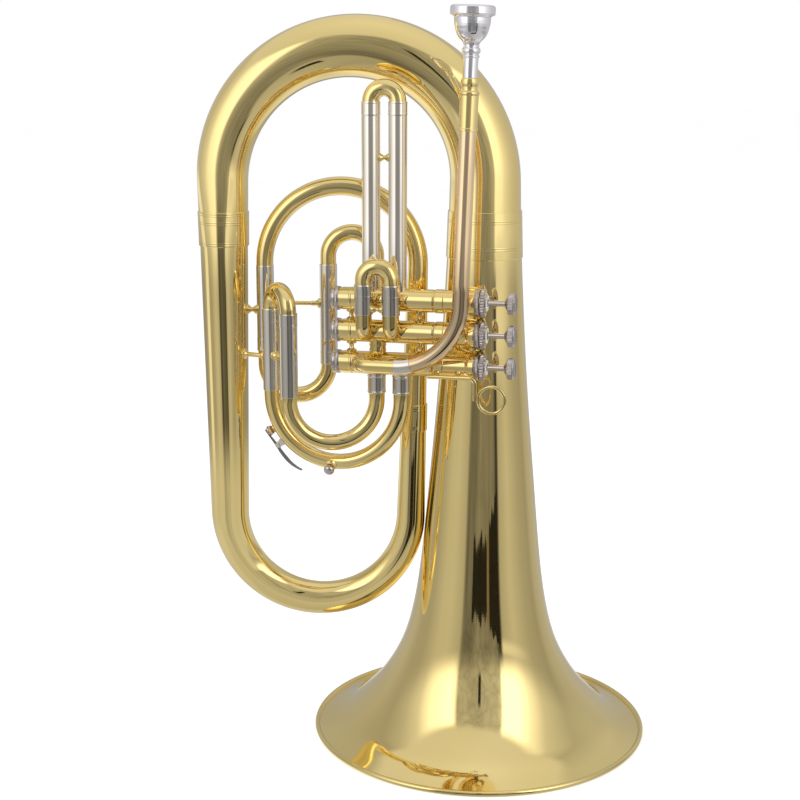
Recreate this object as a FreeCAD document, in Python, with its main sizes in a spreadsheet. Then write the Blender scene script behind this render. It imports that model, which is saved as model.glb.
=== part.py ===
import FreeCAD, Part
import math
import os

import Sketcher

# Marching baritone horn, standing on its bell rim.
# Millimetres.  Origin: centre of the plane of the bell rim.  +Z runs up the bell axis
# towards the mouthpiece, +X points to the finger buttons, -Y is the player's front side.
# The three valve axes lie in a vertical plane turned by "valve_turn" about Z; along that
# plane "u" counts towards the buttons, "v" towards the back.

Vec = FreeCAD.Vector
Rot = FreeCAD.Rotation
UP = Vec(0, 0, 1)
DOWN = Vec(0, 0, -1)
RIGHT = Vec(1, 0, 0)
LEFT = Vec(-1, 0, 0)

DIMENSIONS = {
    # bell and conical branches
    "bell_top": 450.0,
    "bell_wall": 0.7,
    "rim_radius": 150.0,
    "bead_radius": 2.4,
    "bead_land": 1.6,
    "cone_wall": 0.8,
    "bow_spring": 494.0,
    "top_bow_radius": 113.0,
    "top_bow_large": 31.3,
    "top_bow_small": 21.0,
    "left_joint": 453.0,
    "left_x": -226.0,
    "bottom_bow_radius": 81.6,
    "bottom_bow_spring": 199.3,
    "bottom_bow_large": 20.9,
    "bottom_bow_small": 11.1,
    "branch_lean": 1.4,
    "branch_joint": 288.0,
    "branch_small": 8.7,
    "arch_start": 7.3,
    "arch_radius": 66.7,
    "arch_spring": 423.2,
    "band_wall": 0.8,
    # cylindrical tubing
    "tube_outer": 6.9,
    "tube_wall": 0.6,
    "bow_outer": 7.1,
    "bow_wall": 0.8,
    "sleeve_outer": 7.7,
    "sleeve_band": 7.95,
    "sleeve_bore": 6.95,
    "band_length": 11.0,
    # valve block
    "valve_front": -53.0,
    "valve_turn": 10.0,
    "valve_base": -128.0,
    "valve_one": 397.5,
    "valve_two": 370.2,
    "valve_three": 342.8,
    "casing_radius": 9.7,
    "casing_bore": 8.95,
    "chamber_bore": 9.15,
    "thread_low": 9.3,
    "thread_low_length": 4.6,
    "thread_high": 9.6,
    "casing_length": 127.4,
    "shoulder": 87.0,
    "flange_low": 116.3,
    "flange_high": 121.4,
    "flange_radius": 11.2,
    "seam_ring": 83.8,
    "port_radius": 6.2,
    "piston_radius": 8.9,
    "piston_low": 14.5,
    "piston_high": 86.0,
    "stroke": 15.0,
    "stem_radius": 2.4,
    "stem_bore": 2.45,
    "collar_low": 118.0,
    "button_low": 146.9,
    "button_radius": 9.2,
    "button_thick": 8.2,
    "top_cap_radius": 12.0,
    "top_cap_skirt": 11.5,
    "top_cap_plate": 127.6,
    "top_cap_high": 130.7,
    "bottom_cap_radius": 10.3,
    "felt_bore": 3.8,
    "felt_thick": 0.9,
    "spring_radius": 6.0,
    "spring_wire": 0.45,
    "spring_pitch": 4.1,
    # slides
    "tuning_left": -190.7,
    "tuning_right": -135.3,
    "tuning_left_low": 346.0,
    "tuning_left_high": 421.0,
    "tuning_right_low": 335.0,
    "tuning_right_high": 422.5,
    "tuning_bow_spring": 333.9,
    "tuning_leg": 70.0,
    "inner_arch_x": -93.4,
    "inner_arch_spring": 429.3,
    "outlet_bend": 13.0,
    "first_left": -96.6,
    "first_right": -73.7,
    "first_high": 561.5,
    "first_leg": 92.0,
    "second_left": -98.0,
    "second_right": -74.5,
    "second_low": 387.6,
    "second_high": 412.5,
    "second_leg": 22.0,
    "second_front": -21.0,
    "second_bend": 9.3,
    "third_front_u": -92.0,
    "third_rear_u": -70.2,
    "third_spring": 311.5,
    "third_low": 315.0,
    "third_high": 386.5,
    "third_leg": 66.0,
    "third_front_x": -164.5,
    "third_front_y": -50.5,
    "third_rear_x": -183.0,
    "third_rear_y": -21.0,
    # leadpipe and mouthpiece
    "lead_v": -21.0,
    "lead_u": -15.9,
    "lead_lean": 1.9,
    "lead_bend": 55.0,
    "lead_level": 344.1,
    "lead_length": 148.0,
    "ferrule_turn": 14.6,
    "inlet_u": -104.5,
    "inlet_bend": 10.0,
    "receiver_low": 141.8,
    "receiver_length": 41.6,
    "shank_depth": 28.0,
    "mouthpiece_length": 84.0,
    "mouthpiece_rim": 18.0,
}

# Outer surface of the bell: height above the rim plane, radius.
BELL_STATIONS = (
    (8.0, 131.5),
    (20.0, 113.3),
    (36.0, 97.3),
    (55.0, 83.2),
    (79.0, 70.6),
    (108.0, 61.6),
    (165.0, 52.6),
    (221.0, 47.3),
    (303.0, 40.1),
    (409.0, 33.3),
)

doc = FreeCAD.newDocument("BaritoneHorn")
sheet = doc.addObject("Spreadsheet::Sheet", "Dims")
for row, (alias, number) in enumerate(DIMENSIONS.items(), start=1):
    sheet.set(f"A{row}", alias)
    sheet.set(f"B{row}", str(number))
    sheet.setAlias(f"B{row}", alias)
doc.recompute()

nodes = {}


# ---------------------------------------------------------------- sizes and positions

def size(spec):
    """Value of a sum such as "tube_outer - tube_wall + 0.5", or of a plain number."""
    if isinstance(spec, (int, float)):
        return float(spec)
    total = 0.0
    sign = 1.0
    for word in spec.split():
        if word == "+":
            sign = 1.0
        elif word == "-":
            sign = -1.0
        elif word[0].isalpha():
            total += sign * float(sheet.get(word))
        else:
            total += sign * float(word)
    return total


def formula(spec):
    """The same sum written for a FreeCAD expression."""
    words = []
    for word in str(spec).split():
        words.append("Dims." + word if word[0].isalpha() else word)
    return " ".join(words)


def bind(thing, prop, spec):
    setattr(thing, prop, size(spec))
    thing.setExpression(prop, formula(spec))


def aim(position, heading, side):
    """Placement that sends local +Z along heading and local +X along side."""
    return FreeCAD.Placement(position, Rot(side, Vec(), heading, "ZXY"))


turn = math.radians(size("valve_turn"))
U = Vec(math.cos(turn), -math.sin(turn), 0)
V = Vec(math.sin(turn), math.cos(turn), 0)
BACK = V
FRONT = Vec(-V.x, -V.y, 0)
MINUS_U = Vec(-U.x, -U.y, 0)
AZIMUTH = {"back": BACK, "up": UP, "front": FRONT, "down": DOWN}


def at_valves(u, v, z):
    """World point from the valve plane's coordinates."""
    return Vec(0, size("valve_front"), 0) + U * size(u) + V * size(v) + UP * size(z)


def along(point, heading, distance):
    return point + heading * distance


# ---------------------------------------------------------------- shape helpers

def origin_plane(body, role):
    return [f for f in body.Origin.OriginFeatures if f.Role == role][0]


def new_sketch(body, name, role):
    sketch = body.newObject("Sketcher::SketchObject", name)
    sketch.AttachmentSupport = [(origin_plane(body, role), "")]
    sketch.MapMode = "FlatFace"
    return sketch


def pin(sketch, geometry, end, kind, spec):
    """Hold one coordinate of a sketch point to a size."""
    value = size(spec)
    if abs(value) < 1e-9:
        axis = -2 if kind == "DistanceX" else -1
        sketch.addConstraint(Sketcher.Constraint("PointOnObject", geometry, end, axis))
        return
    if value > 0:
        index = sketch.addConstraint(Sketcher.Constraint(kind, -1, 1, geometry, end, value))
        sketch.setExpression(f"Constraints[{index}]", formula(spec))
    else:
        index = sketch.addConstraint(Sketcher.Constraint(kind, geometry, end, -1, 1, -value))
        sketch.setExpression(f"Constraints[{index}]", f"-({formula(spec)})")


def outline(sketch, points, arcs=None):
    """Closed outline; arcs maps an edge number to a point that edge bulges through."""
    arcs = arcs or {}
    count = len(points)
    spots = [Vec(size(x), size(y), 0) for x, y in points]
    for i in range(count):
        start = spots[i]
        stop = spots[(i + 1) % count]
        if i in arcs:
            middle = Vec(size(arcs[i][0]), size(arcs[i][1]), 0)
            arc = Part.Arc(start, middle, stop)
            sketch.addGeometry(arc)
        else:
            sketch.addGeometry(Part.LineSegment(start, stop))
    ends = []
    for i in range(count):
        first = sketch.getPoint(i, 1)
        starts_first = (first - spots[i]).Length < 1e-6
        ends.append((1, 2) if starts_first else (2, 1))
    for i in range(count):
        after = (i + 1) % count
        sketch.addConstraint(
            Sketcher.Constraint("Coincident", i, ends[i][1], after, ends[after][0]))
    for i in range(count):
        pin(sketch, i, ends[i][0], "DistanceX", points[i][0])
        pin(sketch, i, ends[i][0], "DistanceY", points[i][1])


def turned(name, placement, points, arcs=None):
    """Solid of revolution about local Z from an outline of (radius, height) points."""
    body = doc.addObject("PartDesign::Body", name)
    sketch = new_sketch(body, name + "_outline", "XZ_Plane")
    outline(sketch, points, arcs)
    spin = body.newObject("PartDesign::Revolution", name + "_turned")
    spin.Profile = sketch
    spin.ReferenceAxis = (sketch, ["V_Axis"])
    spin.Angle = 360
    sketch.Visibility = False
    body.Placement = placement
    return body


def padded(name, placement, points, width, arcs=None):
    """Flat outline in local XZ, thickened evenly to both sides."""
    body = doc.addObject("PartDesign::Body", name)
    sketch = new_sketch(body, name + "_outline", "XZ_Plane")
    outline(sketch, points, arcs)
    pad = body.newObject("PartDesign::Pad", name + "_pad")
    pad.Profile = sketch
    pad.Midplane = True
    bind(pad, "Length", width)
    body.Placement = placement
    return body


def centreline(sketch, moves):
    """Tangent chain of runs and bends starting at the origin along local +Z.

    ("run", length) goes straight; ("bend", radius, degrees) turns towards local +X,
    or towards -X where degrees is negative.
    """
    here = Vec(0, 0, 0)
    heading = math.pi / 2
    last = None
    for number, move in enumerate(moves):
        if move[0] == "run":
            reach = Vec(math.cos(heading), math.sin(heading), 0) * size(move[1])
            sketch.addGeometry(Part.LineSegment(here, here + reach))
            begin, finish = 1, 2
            here = here + reach
        else:
            radius = size(move[1])
            swing = math.radians(size(move[2]))
            hand = 1 if swing > 0 else -1
            to_centre = heading - hand * math.pi / 2
            centre = here + Vec(math.cos(to_centre), math.sin(to_centre), 0) * radius
            begin_angle = to_centre + math.pi
            final_angle = begin_angle - swing
            circle = Part.Circle(centre, UP, radius)
            if hand > 0:
                sketch.addGeometry(Part.ArcOfCircle(circle, final_angle, begin_angle))
                begin, finish = 2, 1
            else:
                sketch.addGeometry(Part.ArcOfCircle(circle, begin_angle, final_angle))
                begin, finish = 1, 2
            here = centre + Vec(math.cos(final_angle), math.sin(final_angle), 0) * radius
            heading -= swing
        if last is None:
            sketch.addConstraint(Sketcher.Constraint("Coincident", number, begin, -1, 1))
            if move[0] == "run":
                sketch.addConstraint(Sketcher.Constraint("Vertical", number))
            else:
                sketch.addConstraint(
                    Sketcher.Constraint("PointOnObject", number, 3, -1))
        else:
            sketch.addConstraint(
                Sketcher.Constraint("Tangent", last[0], last[1], number, begin))
        if move[0] == "run":
            index = sketch.addConstraint(
                Sketcher.Constraint("Distance", number, size(move[1])))
            sketch.setExpression(f"Constraints[{index}]", formula(move[1]))
        else:
            index = sketch.addConstraint(
                Sketcher.Constraint("Radius", number, size(move[1])))
            sketch.setExpression(f"Constraints[{index}]", formula(move[1]))
            sketch.addConstraint(
                Sketcher.Constraint("Angle", number, abs(math.radians(size(move[2])))))
        last = (number, finish)
    ahead = Vec(math.cos(heading), 0, math.sin(heading))
    return Vec(here.x, 0, here.y), ahead


def tube(name, placement, moves, outer="tube_outer", wall="tube_wall"):
    """Bent tube of constant diameter, or a solid bent rod where wall is None."""
    body = doc.addObject("PartDesign::Body", name)
    path = new_sketch(body, name + "_path", "XZ_Plane")
    centreline(path, moves)
    ring = new_sketch(body, name + "_ring", "XY_Plane")
    radii = [outer] if wall is None else [outer, f"{outer} - {wall}"]
    for number, radius in enumerate(radii):
        ring.addGeometry(Part.Circle(Vec(0, 0, 0), UP, size(radius)))
        ring.addConstraint(Sketcher.Constraint("Coincident", number, 3, -1, 1))
        index = ring.addConstraint(Sketcher.Constraint("Radius", number, size(radius)))
        ring.setExpression(f"Constraints[{index}]", formula(radius))
    doc.recompute()
    pipe = body.newObject("PartDesign::AdditivePipe", name + "_pipe")
    pipe.Profile = ring
    pipe.Spine = (path, [f"Edge{i + 1}" for i in range(len(moves))])
    body.Placement = placement
    return body


def cone_tube(name, placement, moves, start, stop, wall):
    """Bent tube whose radius grows evenly from start to stop along its length."""
    path = doc.addObject("Sketcher::SketchObject", name + "_path")
    path.Placement = FreeCAD.Placement(Vec(), Rot(RIGHT, 90))
    end, ahead = centreline(path, moves)
    doc.recompute()
    skins = []
    for skin, less in (("outside", ""), ("inside", f" - {wall}")):
        sections = []
        for place, radius in (
                (FreeCAD.Placement(), start),
                (FreeCAD.Placement(end, Rot(UP, ahead)), stop)):
            circle = doc.addObject("Part::Circle", f"{name}_{skin}_section")
            bind(circle, "Radius", radius + less)
            circle.Placement = place
            sections.append(circle)
        sweep = doc.addObject("Part::Sweep", f"{name}_{skin}")
        sweep.Sections = sections
        sweep.Spine = (path, [f"Edge{i + 1}" for i in range(len(moves))])
        sweep.Solid = True
        sweep.Frenet = False
        skins.append(sweep)
    hollow = doc.addObject("Part::Cut", name)
    hollow.Base, hollow.Tool = skins
    hollow.Placement = placement
    return hollow


def rod(name, placement, radius, length):
    cylinder = doc.addObject("Part::Cylinder", name)
    bind(cylinder, "Radius", radius)
    bind(cylinder, "Height", length)
    cylinder.Placement = placement
    return cylinder


def cut(name, base, tools):
    """Base with every tool taken away."""
    if len(tools) == 1:
        tool = tools[0]
    else:
        tool = doc.addObject("Part::MultiFuse", name + "_tools")
        tool.Shapes = tools
    result = doc.addObject("Part::Cut", name)
    result.Base = base
    result.Tool = tool
    return result


def fused(name, pieces):
    result = doc.addObject("Part::MultiFuse", name)
    result.Shapes = pieces
    result.Refine = True
    return result


def keep(node, *pieces):
    """Register a node: one piece, or a group of separate solids."""
    if len(pieces) == 1:
        thing = pieces[0]
    else:
        thing = doc.addObject("Part::Compound", node + "_group")
        thing.Links = list(pieces)
    thing.Label = node
    nodes[node] = thing


VALVES = (("1", "valve_one"), ("2", "valve_two"), ("3", "valve_three"))


def valve_axis(level, distance=0.0):
    """Placement on a valve axis, distance along it from the casing's lower end."""
    position = along(at_valves("valve_base", 0, level), U, size(distance))
    return aim(position, U, UP)


def casing_plug(number, level):
    """Solid the size of a casing, for fitting tube ends and posts against it."""
    return rod(f"casing_plug_{number}", valve_axis(level), "casing_radius", "casing_length")


def tube_plug(name, x, y, low, high, radius):
    return rod(name, aim(Vec(x, y, low), UP, RIGHT), radius, high - low)


# ---------------------------------------------------------------- bell and big branches

def bell():
    edge = size("rim_radius") - 2 * size("bead_radius")
    middle = size("bead_radius")
    wall = size("bell_wall")
    top = (size("bell_top"), size("top_bow_large"))
    stations = [Vec(edge, middle + wall / 2, 0)]
    stations += [Vec(radius, height, 0) for height, radius in BELL_STATIONS]
    stations.append(Vec(top[1], top[0], 0))
    outside = Part.BSplineCurve()
    outside.interpolate(stations)
    inner = [Vec(edge, middle - wall / 2, 0)]
    for spot in stations[1:-1]:
        run = outside.tangent(outside.parameter(spot))[0]
        inner.append(spot - Vec(run.y, -run.x, 0).normalize() * wall)
    inner.append(Vec(top[1] - wall, top[0], 0))
    inside = Part.BSplineCurve()
    inside.interpolate(inner)
    body = doc.addObject("PartDesign::Body", "bell")
    sketch = new_sketch(body, "bell_outline", "XZ_Plane")
    sketch.addGeometry(outside)
    sketch.addGeometry(Part.LineSegment(stations[-1], inner[-1]))
    sketch.addGeometry(inside)
    sketch.addGeometry(Part.LineSegment(inner[0], stations[0]))
    spin = body.newObject("PartDesign::Revolution", "bell_turned")
    spin.Profile = sketch
    spin.ReferenceAxis = (sketch, ["V_Axis"])
    spin.Angle = 360
    keep("bell", body)


def bell_rim_bead():
    """Rolled rim with a narrow flat land the horn stands on."""
    radius = size("bead_radius")
    middle = size("rim_radius") - radius
    half = size("bead_land") / 2
    low = radius - math.sqrt(radius ** 2 - half ** 2)
    points = [(middle - half, 0), (middle + half, 0)]
    arcs = {1: (middle, 2 * radius - low)}
    keep("bell_rim_bead", turned("bell_rim_bead", FreeCAD.Placement(), points, arcs))


def band(name, placement, radii, length, lines):
    """Thin ferrule over a joint; radii are the tube's at both ends and the middle."""
    low, middle, high = radii
    wall = size("band_wall")
    gap = 0.03
    outer_low = low + wall
    outer_high = high + wall

    def outer(height):
        return outer_low + (outer_high - outer_low) * height / length

    points = [(low + gap, 0), (outer(0), 0)]
    for line in lines:
        for offset, step in ((-0.7, 0.0), (-0.35, 0.35), (0.35, 0.35), (0.7, 0.0)):
            points.append((outer(line + offset) + step, line + offset))
    points.append((outer(length), length))
    points.append((high + gap, length))
    points.append((middle + gap, length / 2))
    return turned(name, placement, points)


def top_bow():
    placement = aim(Vec(0, 0, size("bell_top")), UP, LEFT)
    moves = [("run", "bow_spring - bell_top"),
             ("bend", "top_bow_radius", 180),
             ("run", "bow_spring - left_joint")]
    keep("top_bow", cone_tube("top_bow", placement, moves,
                              "top_bow_large", "top_bow_small", "cone_wall"))


def bell_ferrule():
    placement = FreeCAD.Placement(Vec(0, 0, 430.0), Rot())
    radii = (32.35, size("top_bow_large") + 0.02, 31.3)
    keep("bell_ferrule", band("bell_ferrule", placement, radii, 40.0, (9.0, 31.5)))


def left_ferrule():
    placement = FreeCAD.Placement(Vec(size("left_x"), 0, size("left_joint") - 14.8), Rot())
    radii = (21.0, 21.02, 21.5)
    keep("left_ferrule", band("left_ferrule", placement, radii, 29.6, (20.0,)))


def bottom_bow():
    """Left branch, bottom bow and the short leaning branch up to its ferrule."""
    placement = aim(Vec(size("left_x"), 0, size("left_joint")), DOWN, RIGHT)
    lean = math.radians(size("branch_lean"))
    low = size("bottom_bow_spring") - size("bottom_bow_radius") * math.sin(lean)
    rise = (size("branch_joint") - low) / math.cos(lean)
    moves = [("run", "left_joint - bottom_bow_spring"),
             ("bend", "bottom_bow_radius", "180 - branch_lean"),
             ("run", rise)]
    keep("bottom_bow", cone_tube("bottom_bow", placement, moves,
                                 "bottom_bow_large", "bottom_bow_small", "cone_wall"))


def branch_line():
    """Start and downward heading of the leaning branch between arch and bottom bow."""
    lean = math.radians(size("branch_lean"))
    radius = size("arch_radius")
    start = Vec(size("tuning_left") + radius + radius * math.cos(lean), 0,
                size("arch_spring") - radius * math.sin(lean))
    return start, Vec(-math.sin(lean), 0, -math.cos(lean))


def outer_arch():
    placement = aim(Vec(size("tuning_left"), 0, size("tuning_left_high")), UP, RIGHT)
    moves = [("run", "arch_spring - tuning_left_high"),
             ("bend", "arch_radius", "180 + branch_lean")]
    keep("outer_arch", cone_tube("outer_arch", placement, moves,
                                 "arch_start", "branch_small", "tube_wall"))


def small_branch():
    start, heading = branch_line()
    length = (start.z - size("branch_joint")) / -heading.z
    keep("small_branch", cone_tube("small_branch", aim(start, heading, RIGHT),
                                   [("run", length)],
                                   "branch_small", "bottom_bow_small", "tube_wall"))


def branch_ferrule():
    start, heading = branch_line()
    length = (start.z - size("branch_joint")) / -heading.z
    low = along(start, heading, length + 11.8)
    radii = (11.35, size("bottom_bow_small") + 0.02, 11.1)
    keep("branch_ferrule", band("branch_ferrule", aim(low, heading * -1, RIGHT),
                                radii, 23.6, (3.5, 20.1)))


# ---------------------------------------------------------------- valve block

PORTS = {
    "1": (("down", -80.0), ("up", -96.6), ("up", -73.7), ("back", -101.2)),
    "2": (("down", -91.0), ("front", -98.0), ("front", -74.5), ("up", -80.0)),
    "3": (("front", -104.5), ("down", -92.0), ("down", -70.2), ("up", -91.0)),
}


def port_tool(name, level, side, u, reach, start=0.0):
    heading = AZIMUTH[side]
    position = along(at_valves(u, 0, level), heading, start)
    return rod(name, aim(position, heading, U), "port_radius", reach)


def valve_casing(number, level):
    ring = size("seam_ring")
    points = [
        ("casing_bore", 0),
        ("thread_low", 0),
        ("thread_low", "thread_low_length"),
        ("casing_radius", "thread_low_length"),
        ("casing_radius", ring - 1.3),
        ("casing_radius + 0.45", ring - 0.9),
        ("casing_radius + 0.45", ring + 0.9),
        ("casing_radius", ring + 1.3),
        ("casing_radius", "flange_low - 0.8"),
        ("flange_radius", "flange_low"),
        ("flange_radius", "flange_high"),
        ("thread_high", "flange_high"),
        ("thread_high", "casing_length"),
        ("chamber_bore", "casing_length"),
        ("chamber_bore", "shoulder"),
        ("casing_bore", "shoulder"),
    ]
    barrel = turned(f"casing_barrel_{number}", valve_axis(level), points)
    tools = []
    for i, (side, u) in enumerate(PORTS[number]):
        tools.append(port_tool(f"casing_port_{number}_{i}", level, side, u, 12.0))
    keep(f"valve_casing_{number}", cut(f"valve_casing_{number}", barrel, tools))


def piston(number, level):
    """Piston with its straight-through passage and the windows of the slide passages."""
    points = [
        (0, "piston_low + 6"),
        (6.6, "piston_low + 6"),
        (6.6, "piston_low"),
        ("piston_radius - 0.4", "piston_low"),
        ("piston_radius", "piston_low + 0.4"),
        ("piston_radius", "piston_high - 0.4"),
        ("piston_radius - 0.4", "piston_high"),
        (0, "piston_high"),
    ]
    barrel = turned(f"piston_barrel_{number}", valve_axis(level), points)
    entry, slide_one, slide_two, leave = PORTS[number]
    tools = []
    for i, (side, u) in enumerate((entry, leave)):
        tools.append(port_tool(f"passage_{number}_{i}", level, side, u, 12.0))
        ball = doc.addObject("Part::Sphere", f"passage_ball_{number}_{i}")
        bind(ball, "Radius", "port_radius - 0.2")
        ball.Placement = FreeCAD.Placement(at_valves(u, 0, level), Rot())
        tools.append(ball)
    low, high = sorted((entry[1], leave[1]))
    tools.append(rod(f"passage_{number}_link", aim(at_valves(low, 0, level), U, UP),
                     "port_radius - 0.2", high - low))
    for i, (side, u) in enumerate((entry, slide_one, slide_two, leave)):
        tools.append(port_tool(f"window_{number}_{i}", level, side,
                               u + size("stroke"), 4.0, size("piston_radius") - 2.1))
    keep(f"piston_{number}", cut(f"piston_{number}", barrel, tools))


def finger_button(number, level):
    """Stem, spring collar and finger button, turned in one."""
    low = size("button_low")
    top = low + size("button_thick")
    points = [
        (0, "piston_high"),
        ("stem_radius", "piston_high"),
        ("stem_radius", "collar_low"),
        (7.4, "collar_low"),
        (7.4, "collar_low + 1.6"),
        ("stem_radius", "collar_low + 1.6"),
        ("stem_radius", low - 1.0),
        (4.2, low),
        (6.2, low + 1.4),
        ("button_radius - 0.5", low + 2.2),
        ("button_radius", low + 2.7),
        ("button_radius", top - 1.2),
        ("button_radius - 1.2", top),
        (6.8, top),
        (5.6, top - 0.6),
        (0, top - 0.6),
    ]
    arcs = {11: ("button_radius - 0.35", top - 0.35)}
    keep(f"finger_button_{number}",
         turned(f"finger_button_{number}", valve_axis(level), points, arcs))


def top_cap(number, level):
    """Screw cap: a skirt, a groove and a wider grip rim round a flat end."""
    points = [
        ("thread_high + 0.05", "flange_high + 0.05"),
        ("top_cap_skirt - 0.3", "flange_high + 0.05"),
        ("top_cap_skirt", "flange_high + 0.35"),
        ("top_cap_skirt", "flange_high + 4"),
        (10.7, "flange_high + 4.5"),
        (10.7, "flange_high + 4.9"),
        ("top_cap_radius - 0.5", "flange_high + 5.1"),
        ("top_cap_radius", "flange_high + 5.6"),
        ("top_cap_radius", "flange_high + 7.8"),
        ("top_cap_radius - 0.7", "flange_high + 8.5"),
        (9.4, "top_cap_high - 0.2"),
        (7.6, "top_cap_high"),
        ("stem_bore", "top_cap_high"),
        ("stem_bore", "top_cap_plate"),
        ("thread_high + 0.05", "top_cap_plate"),
    ]
    cap = turned(f"top_cap_blank_{number}", valve_axis(level), points)
    keep(f"top_cap_{number}", cap)


def bottom_cap(number, level):
    """Short screw cap with a rounded, dished end and two raised rims."""
    points = [
        (0, 0.7),
        (4.0, 0.4),
        (6.6, 0),
        (8.9, 0),
        (9.9, 0.6),
        ("bottom_cap_radius", 1.8),
        ("bottom_cap_radius", 2.8),
        (9.8, 3.2),
        (9.8, 3.8),
        ("bottom_cap_radius", 4.2),
        ("bottom_cap_radius", 5.6),
        (9.8, 6.0),
        (9.8, 6.8),
        ("thread_low + 0.05", 6.8),
        ("thread_low + 0.05", 2.2),
        (8.9, 2.2),
        (8.9, 1.1),
        (0, 1.5),
    ]
    return turned(f"bottom_cap_{number}", valve_axis(level, -2.2), points)


def piston_spring(number, level):
    helix = doc.addObject("Part::Helix", f"spring_line_{number}")
    bind(helix, "Pitch", "spring_pitch")
    bind(helix, "Radius", "spring_radius")
    bind(helix, "Height", "collar_low - shoulder - 3.2")
    wire = doc.addObject("Part::Circle", f"spring_wire_{number}")
    bind(wire, "Radius", "spring_wire")
    wire.Placement = FreeCAD.Placement(Vec(size("spring_radius"), 0, 0), Rot(RIGHT, 90))
    doc.recompute()
    coil = doc.addObject("Part::Sweep", f"piston_spring_{number}")
    coil.Sections = [wire]
    coil.Spine = (helix, ["Edge1"])
    coil.Solid = True
    coil.Frenet = True
    coil.Placement = valve_axis(level, "shoulder + 2.6")
    keep(f"piston_spring_{number}", coil)


def valve_guide(number, level):
    points = [
        ("stem_bore", "shoulder"),
        ("chamber_bore - 0.05", "shoulder"),
        ("chamber_bore - 0.05", "shoulder + 2"),
        (4.6, "shoulder + 2"),
        (4.6, "shoulder + 3.4"),
        ("stem_bore", "shoulder + 3.4"),
    ]
    return turned(f"valve_guide_{number}", valve_axis(level), points)


def cap_felt(number, level):
    points = [
        ("felt_bore", "top_cap_high"),
        (6.6, "top_cap_high"),
        (6.6, "top_cap_high + felt_thick"),
        ("felt_bore", "top_cap_high + felt_thick"),
    ]
    return turned(f"cap_felt_{number}", valve_axis(level), points)


def crossover(name, u, upper, lower, plugs):
    """Short tube between two neighbouring casings, fitted to both."""
    top = at_valves(u, 0, upper)
    link = tube(name + "_link", aim(top, DOWN, U), [("run", f"{upper} - {lower}")])
    return cut(name, link, plugs)


def casing_post(name, u, upper, lower, plugs):
    """Turned post with a narrow waist between two casings."""
    reach = size(upper) - size(lower) - 2 * size("casing_radius")
    low = size("casing_radius") - 0.8
    height = reach + 1.6
    points = [
        (0, 0),
        (4.2, 0),
        (4.2, 1.9),
        (1.9, 3.4),
        (1.9, height - 3.4),
        (4.2, height - 1.9),
        (4.2, height),
        (0, height),
    ]
    arcs = {2: (2.7, 2.3), 4: (2.7, height - 2.3)}
    start = at_valves(u, 0, f"{lower} + {low}")
    return cut(name, turned(name + "_blank", aim(start, UP, U), points, arcs), plugs)


def valve_block():
    plugs = {number: casing_plug(number, level) for number, level in VALVES}
    for number, level in VALVES:
        valve_casing(number, level)
        piston(number, level)
        finger_button(number, level)
        top_cap(number, level)
        piston_spring(number, level)
    keep("bottom_caps", *[bottom_cap(number, level) for number, level in VALVES])
    keep("valve_guides", *[valve_guide(number, level) for number, level in VALVES])
    keep("cap_felts", *[cap_felt(number, level) for number, level in VALVES])
    keep("valve_crossovers",
         crossover("crossover_upper", -80.0, "valve_one", "valve_two",
                   [plugs["1"], plugs["2"]]),
         crossover("crossover_lower", -91.0, "valve_two", "valve_three",
                   [plugs["2"], plugs["3"]]))
    posts = []
    for u in (-114.0, -54.5):
        posts.append(casing_post(f"post_upper_{len(posts)}", u, "valve_one", "valve_two",
                                 [plugs["1"], plugs["2"]]))
        posts.append(casing_post(f"post_lower_{len(posts)}", u, "valve_two", "valve_three",
                                 [plugs["2"], plugs["3"]]))
    keep("casing_posts", *posts)
    return plugs


# ---------------------------------------------------------------- slides

def sleeve(name, position, low, high, band_at_top=True):
    """Outer slide tube, standing upright, with a thicker band at its open end."""
    length = size(high) - size(low)
    wide = size("band_length")
    if band_at_top:
        points = [
            ("sleeve_bore", 0),
            ("sleeve_outer", 0),
            ("sleeve_outer", length - wide),
            ("sleeve_band", length - wide + 0.3),
            ("sleeve_band", length - 0.3),
            ("sleeve_outer", length),
            ("sleeve_bore", length),
        ]
    else:
        points = [
            ("sleeve_bore", 0),
            ("sleeve_outer", 0),
            ("sleeve_band", 0.3),
            ("sleeve_band", wide - 0.3),
            ("sleeve_outer", wide),
            ("sleeve_outer", length),
            ("sleeve_bore", length),
        ]
    base = Vec(position.x, position.y, size(low))
    return turned(name, aim(base, UP, U), points)


def leg(name, position, low, length):
    base = Vec(position.x, position.y, size(low))
    return tube(name, aim(base, UP, U), [("run", length)])


def tuning_slide():
    left = Vec(size("tuning_left"), 0, 0)
    right = Vec(size("tuning_right"), 0, 0)
    keep("tuning_slide_sleeves",
         sleeve("tuning_sleeve_left", left, "tuning_left_low", "tuning_left_high", False),
         sleeve("tuning_sleeve_right", right, "tuning_right_low", "tuning_right_high",
                False))
    keep("tuning_slide_legs",
         leg("tuning_leg_left", left, "tuning_left_low", "tuning_leg"),
         leg("tuning_leg_right", right, "tuning_right_low", "tuning_leg"))
    start = Vec(left.x, 0, size("tuning_left_low"))
    radius = (right.x - left.x) / 2
    moves = [("run", "tuning_left_low - tuning_bow_spring"),
             ("bend", radius, 180),
             ("run", "tuning_right_low - tuning_bow_spring")]
    keep("tuning_slide_bow",
         tube("tuning_slide_bow", aim(start, DOWN, RIGHT), moves, "bow_outer", "bow_wall"))


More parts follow.
